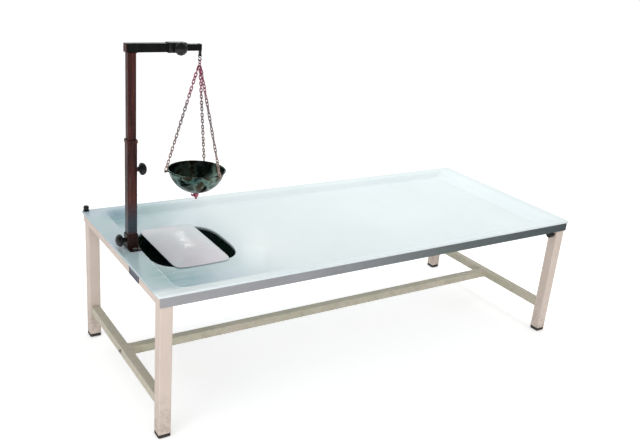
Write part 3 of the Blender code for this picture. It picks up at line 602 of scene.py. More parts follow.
# A darker, greener copy of the ivory paint: painted shade for the stretchers under the tray.
SHADED_IVORY = ivory_paint("shaded_ivory_look", (0.52, 0.50, 0.38), (0.62, 0.56, 0.46))
TRIM = grey_trim()
BROWN = stand_paint("brown_paint_look", (0.012, 0.004, 0.004), (0.105, 0.030, 0.024), tray_reflection=True)
SOCKET_PAINT = stand_paint("socket_paint_look", (0.012, 0.005, 0.005), (0.040, 0.018, 0.014))
ARM_PAINT = stand_paint(
    "arm_paint_look", (0.002, 0.003, 0.003), (0.007, 0.008, 0.008), scratches=False
)
BLACK = black_plastic()
RUBBER = foot_rubber()
PLATE = plate_finish()
ZINC = steel("zinc_look", (0.42, 0.43, 0.44), (0.62, 0.62, 0.60), (0.28, 0.42))
BOWL = bowl_steel()
BRIGHT = steel("bright_steel_look", (0.45, 0.46, 0.45), (0.60, 0.60, 0.58), (0.14, 0.26))
OILY = oily_steel()
DARK_WIRE = steel("dark_wire_look", (0.030, 0.028, 0.028), (0.075, 0.062, 0.060), (0.30, 0.45))
BRASS = steel("brass_look", (0.42, 0.28, 0.12), (0.62, 0.44, 0.22), (0.25, 0.42))
COPPER = steel("copper_look", (0.42, 0.10, 0.16), (0.60, 0.20, 0.25), (0.25, 0.40))
CHAIN = chain_metal()


# Table: tray, basin and head rest


def tray_ring(head, foot, side, radius, z, steps=10):
    half_x = HALF_LENGTH - (head + foot) / 2
    shift = (HEAD_X + FOOT_X) / 2 + (head - foot) / 2
    outline = rounded_rectangle(half_x, HALF_WIDTH - side, radius, steps)
    return [(x + shift, y, z) for x, y in outline]


def opening_ring(grow, z, steps=96):
    """The basin opening, a superellipse, grown outwards."""
    ring = []
    for k in range(steps):
        a = 2 * math.pi * k / steps
        c, s = math.cos(a), math.sin(a)
        x = (OPENING[0] + grow) * math.copysign(abs(c) ** (2 / OPENING_POWER), c)
        y = (OPENING[1] + grow) * math.copysign(abs(s) ** (2 / OPENING_POWER), s)
        ring.append((BASIN_X + x, y, z))
    return ring


def make_tray():
    """Down-turned lip, rolled edge, flat rim, coved walls, floor and the opening's rolled edge."""
    roll = 0.004
    shape = Shape()
    rings = [tray_ring(0, 0, 0, 0.012, RIM_Z - LIP_DROP), tray_ring(0, 0, 0, 0.012, RIM_Z - roll)]
    for k in range(1, 6):
        a = math.radians(18 * k)
        inset = roll * (1 - math.cos(a))
        z = RIM_Z - roll + roll * math.sin(a)
        rings.append(tray_ring(inset, inset, inset, 0.012 - inset / 2, z))
    rim_support = {side: RIM[side] - 0.004 for side in RIM}
    rings.append(tray_ring(**rim_support, radius=0.038, z=RIM_Z))
    steps = 18
    for k in range(steps + 1):
        t = k / steps
        fall = TRAY_DEPTH * (3 * t * t - 2 * t**3)
        insets = {side: RIM[side] + SLOPE[side] * t for side in RIM}
        rings.append(tray_ring(**insets, radius=0.035 + 0.020 * t, z=RIM_Z - fall))
    floor_support = {side: RIM[side] + SLOPE[side] + 0.0015 for side in RIM}
    rings.append(tray_ring(**floor_support, radius=0.054, z=FLOOR_Z))
    made = shape.skin(rings)
    fillet = 0.005
    inner = [opening_ring(fillet + 0.002, FLOOR_Z)]
    for k in range(6):
        a = math.radians(18 * k)
        inner.append(opening_ring(fillet * (1 - math.sin(a)), FLOOR_Z - fillet * (1 - math.cos(a))))
    inner.append(opening_ring(0, FLOOR_Z - 0.014))
    hole = shape.skin(inner)

    mesh = bpy.data.meshes.new("tray_shell")
    mesh.from_pydata(shape.points, [], shape.faces)
    bm = bmesh.new()
    bm.from_mesh(mesh)
    bm.verts.ensure_lookup_table()
    border = []
    for loop in (made[-1], hole[0]):
        for k, index in enumerate(loop):
            after = loop[(k + 1) % len(loop)]
            border.append(bm.edges.get((bm.verts[index], bm.verts[after])))
    bmesh.ops.triangle_fill(bm, use_beauty=True, edges=border, normal=(0, 0, 1))
    bmesh.ops.recalc_face_normals(bm, faces=bm.faces)
    if max(bm.faces, key=lambda face: face.calc_area()).normal.z < 0:
        bmesh.ops.reverse_faces(bm, faces=bm.faces)
    bm.to_mesh(mesh)
    bm.free()
    soften(mesh, 50)
    tray = bpy.data.objects.new("tray_shell", mesh)
    mount(tray, WHITE, "table", ("tray",))
    shell = tray.modifiers.new("shell", "SOLIDIFY")
    shell.thickness = SHELL
    shell.offset = -1
    shell.use_even_offset = True


def make_basin():
    """The dark moulded basin seen through the slits beside the head rest, and from below."""
    top = high("basin").z
    depth = 0.085
    drain = 0.018
    steps = 96
    rings = [opening_ring(0.016, top), opening_ring(0.009, top)]
    wall_steps = 20
    for k in range(1, wall_steps + 1):
        t = k / wall_steps
        draw = 0.006 - 0.060 * t**2.2
        rings.append(opening_ring(draw, top - depth * (1 - (1 - t) ** 1.5)))
    floor = top - depth
    for k in range(1, 5):
        t = k / 4
        ring = opening_ring(-0.054, floor - 0.012 * t)
        hole = [
            (BASIN_X + drain * math.cos(a), drain * math.sin(a))
            for a in (2 * math.pi * j / steps for j in range(steps))
        ]
        rings.append([
            (x + (hx - x) * t, y + (hy - y) * t, z)
            for (x, y, z), (hx, hy) in zip(ring, hole)
        ])
    shape = Shape().rings(rings, caps=False)
    basin = piece("basin_shell", shape, DARK, "table", ("basin",), 60, True)
    if basin.data.polygons[0].normal.z < 0:
        basin.data.flip_normals()
    shell = basin.modifiers.new("shell", "SOLIDIFY")
    shell.thickness = 0.003
    shell.offset = -1


def make_head_rest():
    """A crowned bridge with a shallow dip for the head, rolled edges and a thin wall."""
    lo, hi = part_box("head_rest")
    mid = (lo + hi) / 2
    half_x = (hi.x - lo.x) / 2
    half_y = (hi.y - lo.y) / 2
    rise = 0.026
    wall = 0.0042
    steps = 120

    def plan(a, scale):
        """A place on the plan, from -1 to 1 each way, out along an angle."""
        c, s = math.cos(a), math.sin(a)
        power = 2 / 16
        return (
            scale * math.copysign(abs(c) ** power, c),
            scale * math.copysign(abs(s) ** power, s),
        )

    def at(u, w, drop):
        x = u * half_x * (1 - 0.03 * w**8)
        y = w * half_y * (1 - 0.05 * abs(u) ** 4)
        crown = (1 - abs(u) ** 2.6) * (1 - abs(w) ** 3.2)
        hollow = 0.18 * math.exp(-((w / 0.35) ** 2)) * (1 - u * u)
        return (mid.x + x, mid.y + y, lo.z + wall + rise * (crown - hollow) - drop)

    turns = [2 * math.pi * k / steps for k in range(steps)]
    scales = [0.02, 0.15, 0.3, 0.45, 0.58, 0.70, 0.80, 0.87, 0.925, 0.96, 0.978]
    top = [[at(*plan(a, s), 0) for a in turns] for s in scales]
    edge = []
    for k in range(1, 6):
        t = math.radians(36 * k)
        grow = 0.978 + 0.022 * math.sin(t)
        edge.append([at(*plan(a, grow), wall * (1 - math.cos(t)) / 2) for a in turns])
    under = [[at(*plan(a, s), wall) for a in turns] for s in reversed(scales[:-1])]
    shape = Shape().rings(top + edge + under)
    piece("head_rest_shell", shape, PAD, "head_rest", ("head_rest",), 70)


def stack(at, half, levels, steps=6):
    """A solid of rounded squares one above another: (inset from half, corner, z)."""
    rings = [
        [(at.x + x, at.y + y, z) for x, y in rounded_rectangle(half - w, half - w, corner, steps)]
        for w, corner, z in levels
    ]
    return Shape().rings(rings)


def make_foot_caps():
    for end in ("head", "foot"):
        for side in ("near", "far"):
            node = f"foot_cap_{end}_{side}"
            lo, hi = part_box(node)
            half = (hi.x - lo.x) / 2
            top = low(f"leg_{end}_{side}").z - SEAM
            levels = (
                (0.0040, 0.005, 0.0), (0.0012, 0.007, 0.0008), (0, 0.008, 0.0030),
                (0.0003, 0.008, 0.0062), (0.0012, 0.007, 0.0068), (0.0012, 0.007, 0.0078),
                (0.0003, 0.008, 0.0084), (0, 0.008, top - 0.0022), (0.0008, 0.007, top - 0.0006),
                (0.0030, 0.005, top), (0.0036, 0.004, top), (0.0036, 0.004, top + 0.018),
                (0.0056, 0.003, top + 0.020),
            )
            shape = stack((lo + hi) / 2, half, levels)
            piece(f"{node}_moulding", shape, RUBBER, "table", (node,), 50)


def weld_path(at, half_a, half_b, axis, corner=0.004):
    """A rounded-rectangle path about a point, in the plane across an axis."""
    points = rounded_rectangle(half_a, half_b, corner, 4)
    dense = []
    for k, p in enumerate(points):
        q = points[(k + 1) % len(points)]
        pieces = max(1, int(math.dist(p, q) / 0.0022))
        dense += [
            (p[0] + (q[0] - p[0]) * j / pieces, p[1] + (q[1] - p[1]) * j / pieces)
            for j in range(pieces)
        ]
    if axis == "X":
        return [Vector(at) + Vector((0, a, b)) for a, b in dense]
    if axis == "Y":
        return [Vector(at) + Vector((b, 0, a)) for a, b in dense]
    return [Vector(at) + Vector((a, b, 0)) for a, b in dense]


def weld(name, path, size, material, body="table"):
    """A rippled weld bead along a closed path."""
    count = len(path)

    def ripple(t):
        fine, slow = math.sin(t * count * 1.55), math.sin(t * count * 0.37)
        return size * (1 + 0.14 * fine + 0.07 * slow)

    shape = sweep(path, ripple, sides=7, closed=True)
    piece(name, shape, material, body, angle=80)


def make_frame():
    for node in (
        "rail_near", "rail_far", "rail_head", "rail_foot", "head_crossbar", "cross_support",
        "leg_head_near", "leg_head_far", "leg_foot_near", "leg_foot_far",
    ):
        refined(node, IVORY, 0.0005)
    # The stretchers take the darker copy of the ivory paint, painted shade under the tray.
    for node in ("stretcher_head", "stretcher_foot", "stretcher_long"):
        refined(node, SHADED_IVORY, 0.0005)
    for node in ("trim_near", "trim_far"):
        refined(node, TRIM, 0.0003)
    bead = 0.0021
    half = (high("stretcher_head").z - low("stretcher_head").z) / 2
    for end in ("head", "foot"):
        bar_lo, bar_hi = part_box(f"stretcher_{end}")
        mid = (bar_lo + bar_hi) / 2
        for side, y in (("near", bar_lo.y), ("far", bar_hi.y)):
            path = weld_path((mid.x, y, mid.z), half, half, "Y")
            weld(f"weld_stretcher_{end}_{side}", path, bead, IVORY)
        for side in ("near", "far"):
            leg_lo, leg_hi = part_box(f"leg_{end}_{side}")
            leg = (leg_lo + leg_hi) / 2
            leg_half = (leg_hi.x - leg_lo.x) / 2
            path = weld_path((leg.x, leg.y, leg_hi.z), leg_half, leg_half, "Z", 0.005)
            weld(f"weld_leg_{end}_{side}", path, bead, IVORY)
    long_lo, long_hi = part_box("stretcher_long")
    mid = (long_lo + long_hi) / 2
    for end, x in (("head", long_lo.x), ("foot", long_hi.x)):
        path = weld_path((x, mid.y, mid.z), half, half, "X")
        weld(f"weld_long_{end}", path, bead, IVORY)


def button_head(radius, height, key, depth, shank, reach, at, along):
    """A domed screw head with a hexagonal key recess, and its shank."""
    steps = 36
    turn = basis(along)
    rings = []

    def ring(r, z, hexagon=False):
        points = []
        for k in range(steps):
            a = 2 * math.pi * k / steps
            scale = 1.0
            if hexagon:
                scale = math.cos(math.pi / 6) / math.cos((a % (math.pi / 3)) - math.pi / 6)
            x, y = r * scale * math.cos(a), r * scale * math.sin(a)
            points.append(Vector(at) + turn @ Vector((x, y, z)))
        return points

    rings.append(ring(key * 0.2, height - depth, True))
    rings.append(ring(key * 0.98, height - depth, True))
    rings.append(ring(key, height - 0.0004, True))
    rings.append(ring(key + 0.0005, height, True))
    dome = 7
    for k in range(1, dome + 1):
        t = k / dome
        r = key + 0.0009 + (radius - key - 0.0009) * t
        rings.append(ring(r, height * math.cos(t * math.pi / 2.25) + 0.0002))
    rings.append(ring(radius, 0.0004))
    rings.append(ring(radius - 0.0004, 0.0))
    rings.append(ring(shank, 0.0))
    rings.append(ring(shank, -reach))
    return Shape().rings(rings)


def make_bolts():
    for end, sign in (("head", -1), ("foot", 1)):
        node = f"stretcher_bolt_{end}"
        lo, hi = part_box(node)
        seat_x = hi.x - 0.0055 if sign > 0 else lo.x + 0.0055
        at = Vector((seat_x, (lo.y + hi.y) / 2, (lo.z + hi.z) / 2))
        sizes = {"radius": 0.0092, "height": 0.0055, "key": 0.0035, "depth": 0.0035}
        shape = button_head(**sizes, shank=0.005, reach=0.058, at=at, along=(sign, 0, 0))
        piece(f"{node}_key_head", shape, ZINC, "table", (node,), 45)
    for side in ("near", "far"):
        node = f"socket_bolt_{side}"
        lo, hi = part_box(node)
        at = Vector(((lo.x + hi.x) / 2, (lo.y + hi.y) / 2, hi.z - 0.005))
        sizes = {"radius": 0.0080, "height": 0.0048, "key": 0.0030, "depth": 0.0030}
        shape = button_head(**sizes, shank=0.004, reach=0.020, at=at, along=(0, 0, 1))
        piece(f"{node}_key_head", shape, ZINC, "table", (node,), 45)


def flutes(count, depth, beyond):
    """A wave for lathe(): shallow grooves in the parts that are wider than a radius."""
    return lambda r, h, a: 1 - depth * (0.5 - 0.5 * math.cos(count * a)) if r > beyond else 1.0


def make_fittings():
    """The blank plate with its rivets, the corner stud and the two hand bolts."""
    lo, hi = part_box("name_plate")
    mid = (lo + hi) / 2
    half_y = (hi.y - lo.y) / 2
    half_z = (hi.z - lo.z) / 2
    rings = []
    for inset, x in (
        (0, hi.x), (0, lo.x + 0.0003), (0.0004, lo.x), (0.0026, lo.x), (0.0030, lo.x + 0.0003),
        (0.0180, lo.x + 0.0003),
    ):
        inset = min(inset, half_z - 0.001)
        outline = rounded_rectangle(half_y - inset, half_z - inset, max(0.0008, 0.004 - inset), 6)
        rings.append([(x, mid.y + y, mid.z + z) for y, z in outline])
    shape = Shape().rings(rings)
    piece("name_plate_blank", shape, PLATE, "table", ("name_plate",), 40)
    for side, sign in (("near", -1), ("far", 1)):
        at = (lo.x + 0.0002, mid.y + sign * (half_y - 0.0075), mid.z)
        dome = arc(0, 0, 0.0021, 90, 0, 6)
        shape = lathe([(r, h * 0.62) for r, h in dome] + [(0.0021, -0.0008)], at, (-1, 0, 0), 20)
        piece(f"plate_rivet_{side}", shape, ZINC, "table")

    lo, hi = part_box("corner_stud")
    at = ((lo.x + hi.x) / 2, (lo.y + hi.y) / 2, lo.z)
    profile = [(0.0001, 0.024), (0.004, 0.0238)] + arc(0.0070, 0.0190, 0.0048, 80, 0, 6)
    profile += [(0.0119, 0.0120), (0.0105, 0.0098), (0.0100, 0.0080)]
    profile += arc(0.0105, 0.0045, 0.0025, 80, 0, 4) + [(0.0130, 0.0)]
    stud = lathe(profile, at)
    piece("corner_stud_turned", stud, BLACK, "table", ("corner_stud",), 50)

    flute = flutes(9, 0.055, 0.013)
    for side in ("near", "far"):
        node = f"leg_bolt_{side}"
        lo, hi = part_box(node)
        at = (hi.x, (lo.y + hi.y) / 2, (lo.z + hi.z) / 2)
        profile = [(0.0001, 0.0340), (0.0050, 0.0339), (0.0060, 0.0332), (0.0095, 0.0330)]
        profile += arc(0.0120, 0.0275, 0.0058, 75, 0, 6) + [(0.0180, 0.0220), (0.0180, 0.0140)]
        profile += arc(0.0150, 0.0125, 0.0030, 0, -80, 4) + [(0.0120, 0.0080), (0.0120, 0.0)]
        shape = lathe(profile, at, (-1, 0, 0), 72, flute)
        piece(f"{node}_grip", shape, BLACK, node, (node,), 50)


# Stand


def make_knob(name, along):
    """A round moulded knob with shallow flutes, a capped face and a stepped hub."""
    at = joint_point(f"{name}_knob_turn")
    flute = flutes(12, 0.035, 0.0195)
    profile = [(0.0001, 0.0318), (0.0060, 0.0318), (0.0068, 0.0312), (0.0074, 0.0324)]
    profile += [(0.0110, 0.0319), (0.0150, 0.0305), (0.0185, 0.0282), (0.0215, 0.0252)]
    profile += [(0.0238, 0.0218), (0.0249, 0.0180), (0.0248, 0.0148), (0.0236, 0.0118)]
    profile += [(0.0212, 0.0094), (0.0175, 0.0076), (0.0132, 0.0066), (0.0112, 0.0058)]
    profile += [(0.0102, 0.0044), (0.0100, 0.0008), (0.0094, 0.0), (0.0044, 0.0)]
    profile += [(0.0044, 0.018), (0.0001, 0.018)]
    shape = lathe(profile, at, along, 96, flute)
    piece(f"{name}_knob_grip", shape, BLACK, f"{name}_knob", (f"{name}_knob",), 50)


def thread(name, along):
    """The clamp screw: a threaded stud from its tip into the knob."""
    node = f"{name}_stud"
    lo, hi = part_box(node)
    mid = (lo + hi) / 2
    length = (hi - lo).dot(Vector([abs(c) for c in along]))
    pitch = 0.00125
    radius = 0.004
    steps = 20
    turn = basis(along)
    rows = int(length / pitch * 6)
    rings = []
    for j in range(rows + 1):
        z = -length / 2 + length * j / rows
        ring = []
        for k in range(steps):
            a = 2 * math.pi * k / steps
            wave = math.cos(2 * math.pi * z / pitch - a)
            r = radius - 0.00032 + 0.00030 * wave
            if j in (0, rows):
                r = radius - 0.0009
            ring.append(mid + turn @ Vector((r * math.cos(a), r * math.sin(a), z)))
        rings.append(ring)
    piece(f"{node}_thread", Shape().rings(rings), ZINC, f"{name}_screw", (node,), 60)


def make_stand():
    refined("stand_socket", SOCKET_PAINT, 0.0006)
    for node in ("column_tube", "column_collar", "mast_tube", "arm_plug"):
        refined(node, BROWN, 0.0005)
    for node in ("arm_tube", "arm_slide", "hook_lug"):
        refined(node, ARM_PAINT, 0.0004)
    refined("arm_collar", BLACK, 0.0010)
    for name, along in (("socket", (-1, 0, 0)), ("column", (1, 0, 0)), ("arm", (0, -1, 0))):
        make_knob(name, along)
        thread(name, along)
    plate_top = low("column_tube").z - SEAM
    half = 0.0225
    path = weld_path((COLUMN.x, COLUMN.y, plate_top), half, half, "Z")
    weld("weld_socket", path, 0.0016, SOCKET_PAINT, "table")
    mast_lo, mast_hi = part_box("mast_tube")
    half = (mast_hi.x - mast_lo.x) / 2
    path = weld_path((COLUMN.x, COLUMN.y, mast_hi.z), half, half, "Z", 0.003)
    weld("weld_mast", path, 0.0016, BROWN, "mast")


# Hook, chains and bowl


def make_hook():
    """The S hook, drawn about the lug's eye in the plane across the arm."""
    loop, first, second = 0.0055, -0.0075, -0.0215
    mid = (first + second) / 2
    upper = arc(0, first, loop, -40, 180, 22)
    lower = arc(0, second, loop, 0, -220, 22)
    cross = [(-0.0052, -0.0103), (-0.0041, -0.0125), (-0.0018, mid + 0.0007)]
    cross += [(-x, 2 * mid - z) for x, z in reversed(cross)]
    path = [HOOK_EYE + Vector((x, 0, z)) for x, z in upper + cross + lower]
    shape = sweep(path, 0.0020, sides=14)
    piece("s_hook_wire", shape, DARK_WIRE, "hook", ("s_hook",), 60)


def circle_path(at, radius, across, steps=36):
    turn = basis(across)
    turns = (2 * math.pi * k / steps for k in range(steps))
    flat = (Vector((radius * math.cos(a), radius * math.sin(a), 0)) for a in turns)
    return [Vector(at) + turn @ p for p in flat]


def link_path(at, along, across, length, half_width):
    """A long link's middle line, two straight sides and two round ends, in a given plane."""
    along, across = Vector(along).normalized(), Vector(across).normalized()
    straight = length / 2 - half_width
    points = []
    for sign in (1, -1):
        for k in range(9):
            a = math.pi * k / 8
            out = math.cos(a) * half_width * sign
            up = sign * (straight + math.sin(a) * half_width)
            points.append(Vector(at) + along * up + across * out)
    return points


def make_chain(name):
    """Welded links from the yoke to the bowl's ear, each turned a quarter from the last."""
    upper, lower = rod_ends(f"chain_{name}")
    out = Vector((lower.x - BOWL_AXIS.x, lower.y - BOWL_AXIS.y, 0)).normalized()
    ring_radius = 0.0050
    ear_ring = ear_point(name) + out * (ring_radius - SEAM)
    ear_ring.z = EAR_Z + 0.0006
    wire = 0.0021
    end = ear_ring + Vector((0, 0, ring_radius)) - out * 0.0010
    start = upper + Vector((0, 0, 0.0014))
    line = start - end
    along = line.normalized()
    side = along.cross(out).normalized()
    pitch_wanted = 0.0140
    count = round(line.length / pitch_wanted)
    pitch = line.length / count
    length = pitch + 2 * wire
    shape = Shape()
    sweep(circle_path(ear_ring, ring_radius, side), 0.0013, 8, True, shape)
    for k in range(count):
        at = end + along * (pitch * (k + 0.5))
        quarter = math.pi / 2 * (k % 2) + 0.35 * math.sin(k * 1.7)
        across = out * math.cos(quarter) + side * math.sin(quarter)
        across -= along * across.dot(along)
        room = (at - Vector((BOWL_AXIS.x, BOWL_AXIS.y, at.z))).length
        half_width = min(0.0046, max(0.0024, room * 0.62 - wire))
        sweep(link_path(at, along, across, length, half_width), wire, 7, True, shape)
    piece(f"chain_{name}_links", shape, CHAIN, "bowl", (f"chain_{name}",), 80)


def ear_point(name):
    """The middle of an ear's hole: where the CAD chain's line meets the ear's plane."""
    upper, lower = rod_ends(f"chain_{name}")
    return upper + (lower - upper) * ((upper.z - EAR_Z) / (upper.z - lower.z))


def make_ring_and_yoke():
    swing = joint_point("bowl_swing")
    ring_mid = swing - Vector((0, 0, 0.0075))
    shape = sweep(circle_path(ring_mid, 0.0075, (1, 0, 0), 48), 0.0016, 12, True)
    piece("hang_ring_wire", shape, CHAIN, "bowl", ("hang_ring",), 80)
    lo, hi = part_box("chain_yoke")
    eye_mid = Vector((BOWL_AXIS.x, BOWL_AXIS.y, hi.z - 0.0014 - 0.0045))
    shape = sweep(circle_path(eye_mid, 0.0045, (0, 1, 0), 36), 0.0014, 10, True)
    base = (BOWL_AXIS.x, BOWL_AXIS.y, lo.z)
    profile = [(0.0001, 0.0052), (0.0020, 0.0051), (0.0036, 0.0044)]
    profile += [(0.0052, 0.0034), (0.0062, 0.0024), (0.0065, 0.0014), (0.0063, 0.0004)]
    profile += [(0.0055, 0.0)]
    body = lathe(profile, base, steps=36)
    offset = len(shape.points)
    shape.points += body.points
    shape.faces += [tuple(index + offset for index in face) for face in body.faces]
    piece("chain_yoke_turned", shape, COPPER, "bowl", ("chain_yoke",), 60)


def make_bowl():
    """The spun bowl with its rolled bead, three riveted ears, and the copper drip tap."""
    rim_z = high("bowl").z - 0.003
    depth = rim_z - low("bowl").z
    radius, wall, hole = 0.114, 0.0016, 0.008
    ear_half = 0.0013  # half an ear's thickness
    sphere = (radius**2 + depth**2) / (2 * depth)
    centre = sphere - depth
    edge = math.degrees(math.acos(centre / sphere))
    low_angle = math.degrees(math.asin(hole / sphere))
    steps = 40
    angles = [math.radians(edge + (low_angle - edge) * k / steps) for k in range(steps + 1)]
    outer = [(sphere * math.sin(a), centre - sphere * math.cos(a)) for a in angles]
    inside = sphere - wall
    inner = [(inside * math.sin(a), centre - inside * math.cos(a)) for a in angles]
    bead = arc(radius + 0.0013, 0.0, 0.0030, 150, -100, 14)
    profile = bead + outer[2:] + inner[::-1][:-1]
    shape = lathe(profile, (BOWL_AXIS.x, BOWL_AXIS.y, rim_z), steps=128, closed=True)
    piece("bowl_spun", shape, BOWL, "bowl", ("bowl",), 50)
    for name in ("left", "far", "near"):
        at = ear_point(name)
        out = Vector((at.x - BOWL_AXIS.x, at.y - BOWL_AXIS.y, 0)).normalized()
        across = Vector((-out.y, out.x, 0))
        rings = []
        outline = [(-0.0125, 0.0062), (-0.0125, -0.0062)] + arc(0, 0, 0.0078, -70, 70, 16)
        hole_ring = arc(0, 0, 0.0033, 180, 540, len(outline))[:-1]
        for ring, side in ((outline, 1), (outline, -1), (hole_ring, -1), (hole_ring, 1)):
            lift = Vector((0, 0, side * ear_half))
            rings.append([at + out * a + across * b + lift for a, b in ring])
        start = min(range(len(outline)), key=lambda k: (rings[2][k] - rings[1][0]).length)
        rings[2] = rings[2][start:] + rings[2][:start]
        rings[3] = rings[3][start:] + rings[3][:start]
        ear = Shape().rings(rings, loop=True)
        made = piece(f"bowl_ear_{name}", ear, BOWL, "bowl", (), 40)
        round_edges(made, 0.0005)
    make_tap()


def make_tap():
    lo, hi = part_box("tap_body")
    base = Vector((BOWL_AXIS.x, BOWL_AXIS.y, hi.z - 0.0052))

    def knurl(r, h, a):
        return 1 + 0.022 * math.cos(30 * a) if r > 0.0115 and -0.0068 < h < -0.0015 else 1.0

    profile = [(0.0018, 0.0052), (0.0118, 0.0052), (0.0128, 0.0046), (0.0130, 0.0030)]
    profile += [(0.0076, 0.0027), (0.0076, -0.0005), (0.0112, -0.0009), (0.0120, -0.0017)]
    profile += [(0.0120, -0.0066), (0.0113, -0.0073), (0.0106, -0.0076), (0.0106, -0.0160)]
    profile += [(0.0098, -0.0182), (0.0070, -0.0206), (0.0052, -0.0222), (0.0044, -0.0262)]
    profile += [(0.0041, -0.0296), (0.0036, -0.0300), (0.0018, -0.0300)]
    shape = lathe(profile, base, steps=90, wave=knurl, closed=True)
    piece("tap_body_turned", shape, COPPER, "bowl", ("tap_body",), 45)
    refined("tap_lever", COPPER, 0.0004)


def make_drain():
    for node in ("drain_spigot", "drain_locknut", "valve_body"):
        refined(node, BRASS, 0.0004, 35)
    for node in ("valve_vane", "valve_lever"):
        refined(node, BRIGHT, 0.0003, 35)
    refined("drain_strainer", OILY, 0.0003, 35)


# Stage: floor, light and camera


FLOOR_GLOW = 0.44  # what the camera sees of the floor beyond its own light
SKY_STRENGTH = 0.66
# The mirrored room's brightness, from the near side (0) to the far side (1)
ROOM_SHADES = ((0.0, 0.04), (0.45, 0.06), (0.60, 0.20), (0.78, 0.70), (1.0, 0.80))


def make_stage():
    shape = Shape()
    reach = 40  # far enough that no view sees the edge
    corners = ((-1, -1), (1, -1), (1, 1), (-1, 1))
    shape.cap(shape.ring([(reach * x, reach * y, 0) for x, y in corners]))
    mesh = bpy.data.meshes.new("floor")
    mesh.from_pydata(shape.points, [], shape.faces)
    floor = bpy.data.objects.new("floor", mesh)
    floor.location.z = -0.0005
    bpy.context.scene.collection.objects.link(floor)
    f = Finish("floor_look", roughness=0.9)
    f.colour((0.90, 0.90, 0.90))
    f.set("Specular IOR Level", 0.1).set("Emission Color", (1, 1, 1, 1))
    seen = f.nodes.new("ShaderNodeLightPath").outputs["Is Camera Ray"]
    f.drive("Emission Strength", f.span(seen, 0.0, FLOOR_GLOW, 0.0, 1.0))
    mesh.materials.append(f.material)


def make_world():
    """Even white light and a white backdrop. Mirrors see a dark room, bright on the far side."""
    world = bpy.data.worlds.new("studio")
    bpy.context.scene.world = world
    world.use_nodes = True
    nodes, links = world.node_tree.nodes, world.node_tree.links
    even = nodes["Background"]
    even.inputs["Color"].default_value = (1, 1, 1, 1)
    even.inputs["Strength"].default_value = SKY_STRENGTH
    mirrored = nodes.new("ShaderNodeBackground")
    backdrop = nodes.new("ShaderNodeBackground")
    backdrop.inputs["Color"].default_value = (1, 1, 1, 1)
    ramp = nodes.new("ShaderNodeValToRGB")
    elements = ramp.color_ramp.elements
    while len(elements) < len(ROOM_SHADES):
        elements.new(0.5)
    for element, (place, value) in zip(elements, ROOM_SHADES):
        element.position = place
        element.color = (value * 0.93, value, value * 0.96, 1)
    split = nodes.new("ShaderNodeSeparateXYZ")
    half = nodes.new("ShaderNodeMath")
    half.operation = "MULTIPLY_ADD"
    half.inputs[1].default_value = 0.5
    half.inputs[2].default_value = 0.5
    direction = nodes.new("ShaderNodeTexCoord").outputs["Generated"]
    links.new(direction, split.inputs["Vector"])
    links.new(split.outputs["Y"], half.inputs[0])
    links.new(half.outputs[0], ramp.inputs["Fac"])
    links.new(ramp.outputs["Color"], mirrored.inputs["Color"])
    path = nodes.new("ShaderNodeLightPath")
    seen = even.outputs["Background"]
    for ray, other in (("Is Glossy Ray", mirrored), ("Is Camera Ray", backdrop)):
        mix = nodes.new("ShaderNodeMixShader")
        links.new(path.outputs[ray], mix.inputs["Fac"])
        links.new(seen, mix.inputs[1])
        links.new(other.outputs["Background"], mix.inputs[2])
        seen = mix.outputs["Shader"]
    links.new(seen, nodes["World Output"].inputs["Surface"])


def area_light(name, at, aim, size, power, lights=True, mirrored=True):
    """A soft rectangular lamp. It can be kept from lighting surfaces or from showing in mirrors."""
    lamp = bpy.data.lights.new(name, "AREA")
    lamp.shape = "RECTANGLE"
    lamp.size, lamp.size_y = size
    lamp.energy = power
    made = bpy.data.objects.new(name, lamp)
    bpy.context.scene.collection.objects.link(made)
    made.location = at
    made.rotation_mode = "QUATERNION"
    made.rotation_quaternion = (Vector(aim) - Vector(at)).to_track_quat("-Z", "Y")
    made.visible_diffuse = lights
    made.visible_glossy = mirrored


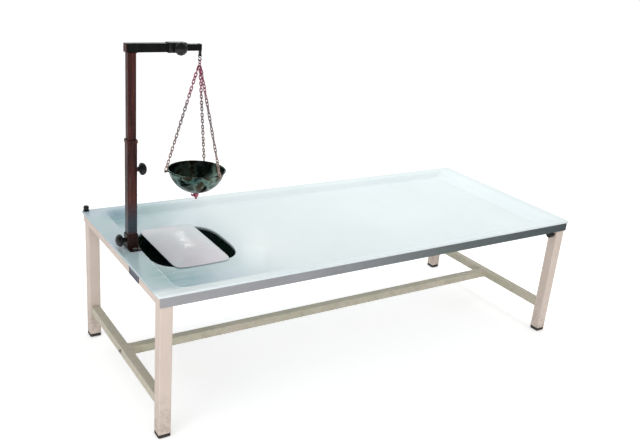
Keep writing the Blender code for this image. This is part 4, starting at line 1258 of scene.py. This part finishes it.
def make_lights():
    area_light("top", (0.9, 0.5, 3.0), (0.6, 0.1, 0.6), (2.2, 1.4), 36, mirrored=False)
    area_light("head_side", (-3.6, -1.6, 0.9), (-0.9, -0.1, 0.5), (1.6, 1.0), 30, mirrored=False)
    area_light("near_side", (0.2, -4.2, 0.6), (0.2, 0, 0.4), (3.0, 0.8), 30, mirrored=False)
    # Two ceiling lamps that show as soft spots in the rest's crown and in the tray floor
    rest_spot = Vector((-0.81, 0.02, 0.61))
    floor_spot = Vector((-0.56, -0.15, 0.58))
    area_light("rest_lamp", (0.32, 2.53, 1.80), rest_spot, (0.16, 0.16), 0.45, lights=False)
    area_light("floor_lamp", (0.80, 2.23, 1.81), floor_spot, (0.18, 0.18), 0.10, lights=False)


# The camera: where it stands, how it is turned, and how its lens is set
CAMERA_AT = (-1.985, -2.767, 1.875)
CAMERA_YAW, CAMERA_PITCH, CAMERA_ROLL = 0.5965, -0.3646, 0.0903
LENS_MM, SENSOR_MM = 43.74, 36.0


def make_camera():
    camera = bpy.data.cameras.new("camera")
    camera.sensor_fit = "HORIZONTAL"
    camera.sensor_width = SENSOR_MM
    camera.lens = LENS_MM
    made = bpy.data.objects.new("camera", camera)
    bpy.context.scene.collection.objects.link(made)
    cos_pitch = math.cos(CAMERA_PITCH)
    look = Vector((
        math.sin(CAMERA_YAW) * cos_pitch, math.cos(CAMERA_YAW) * cos_pitch, math.sin(CAMERA_PITCH)
    ))
    level = Vector((math.cos(CAMERA_YAW), -math.sin(CAMERA_YAW), 0))
    raised = level.cross(look)
    right = math.cos(CAMERA_ROLL) * level + math.sin(CAMERA_ROLL) * raised
    up = -math.sin(CAMERA_ROLL) * level + math.cos(CAMERA_ROLL) * raised
    matrix = Matrix((right, up, -look)).transposed().to_4x4()
    matrix.translation = CAMERA_AT
    made.matrix_world = matrix
    bpy.context.scene.camera = made


make_tray()
make_basin()
make_head_rest()
make_frame()
make_foot_caps()
make_bolts()
make_fittings()
make_drain()
make_stand()
make_hook()
make_ring_and_yoke()
for chain in ("left", "far", "near"):
    make_chain(chain)
make_bowl()
make_stage()
make_world()
make_lights()
make_camera()
bpy.context.scene.view_settings.view_transform = "Standard"
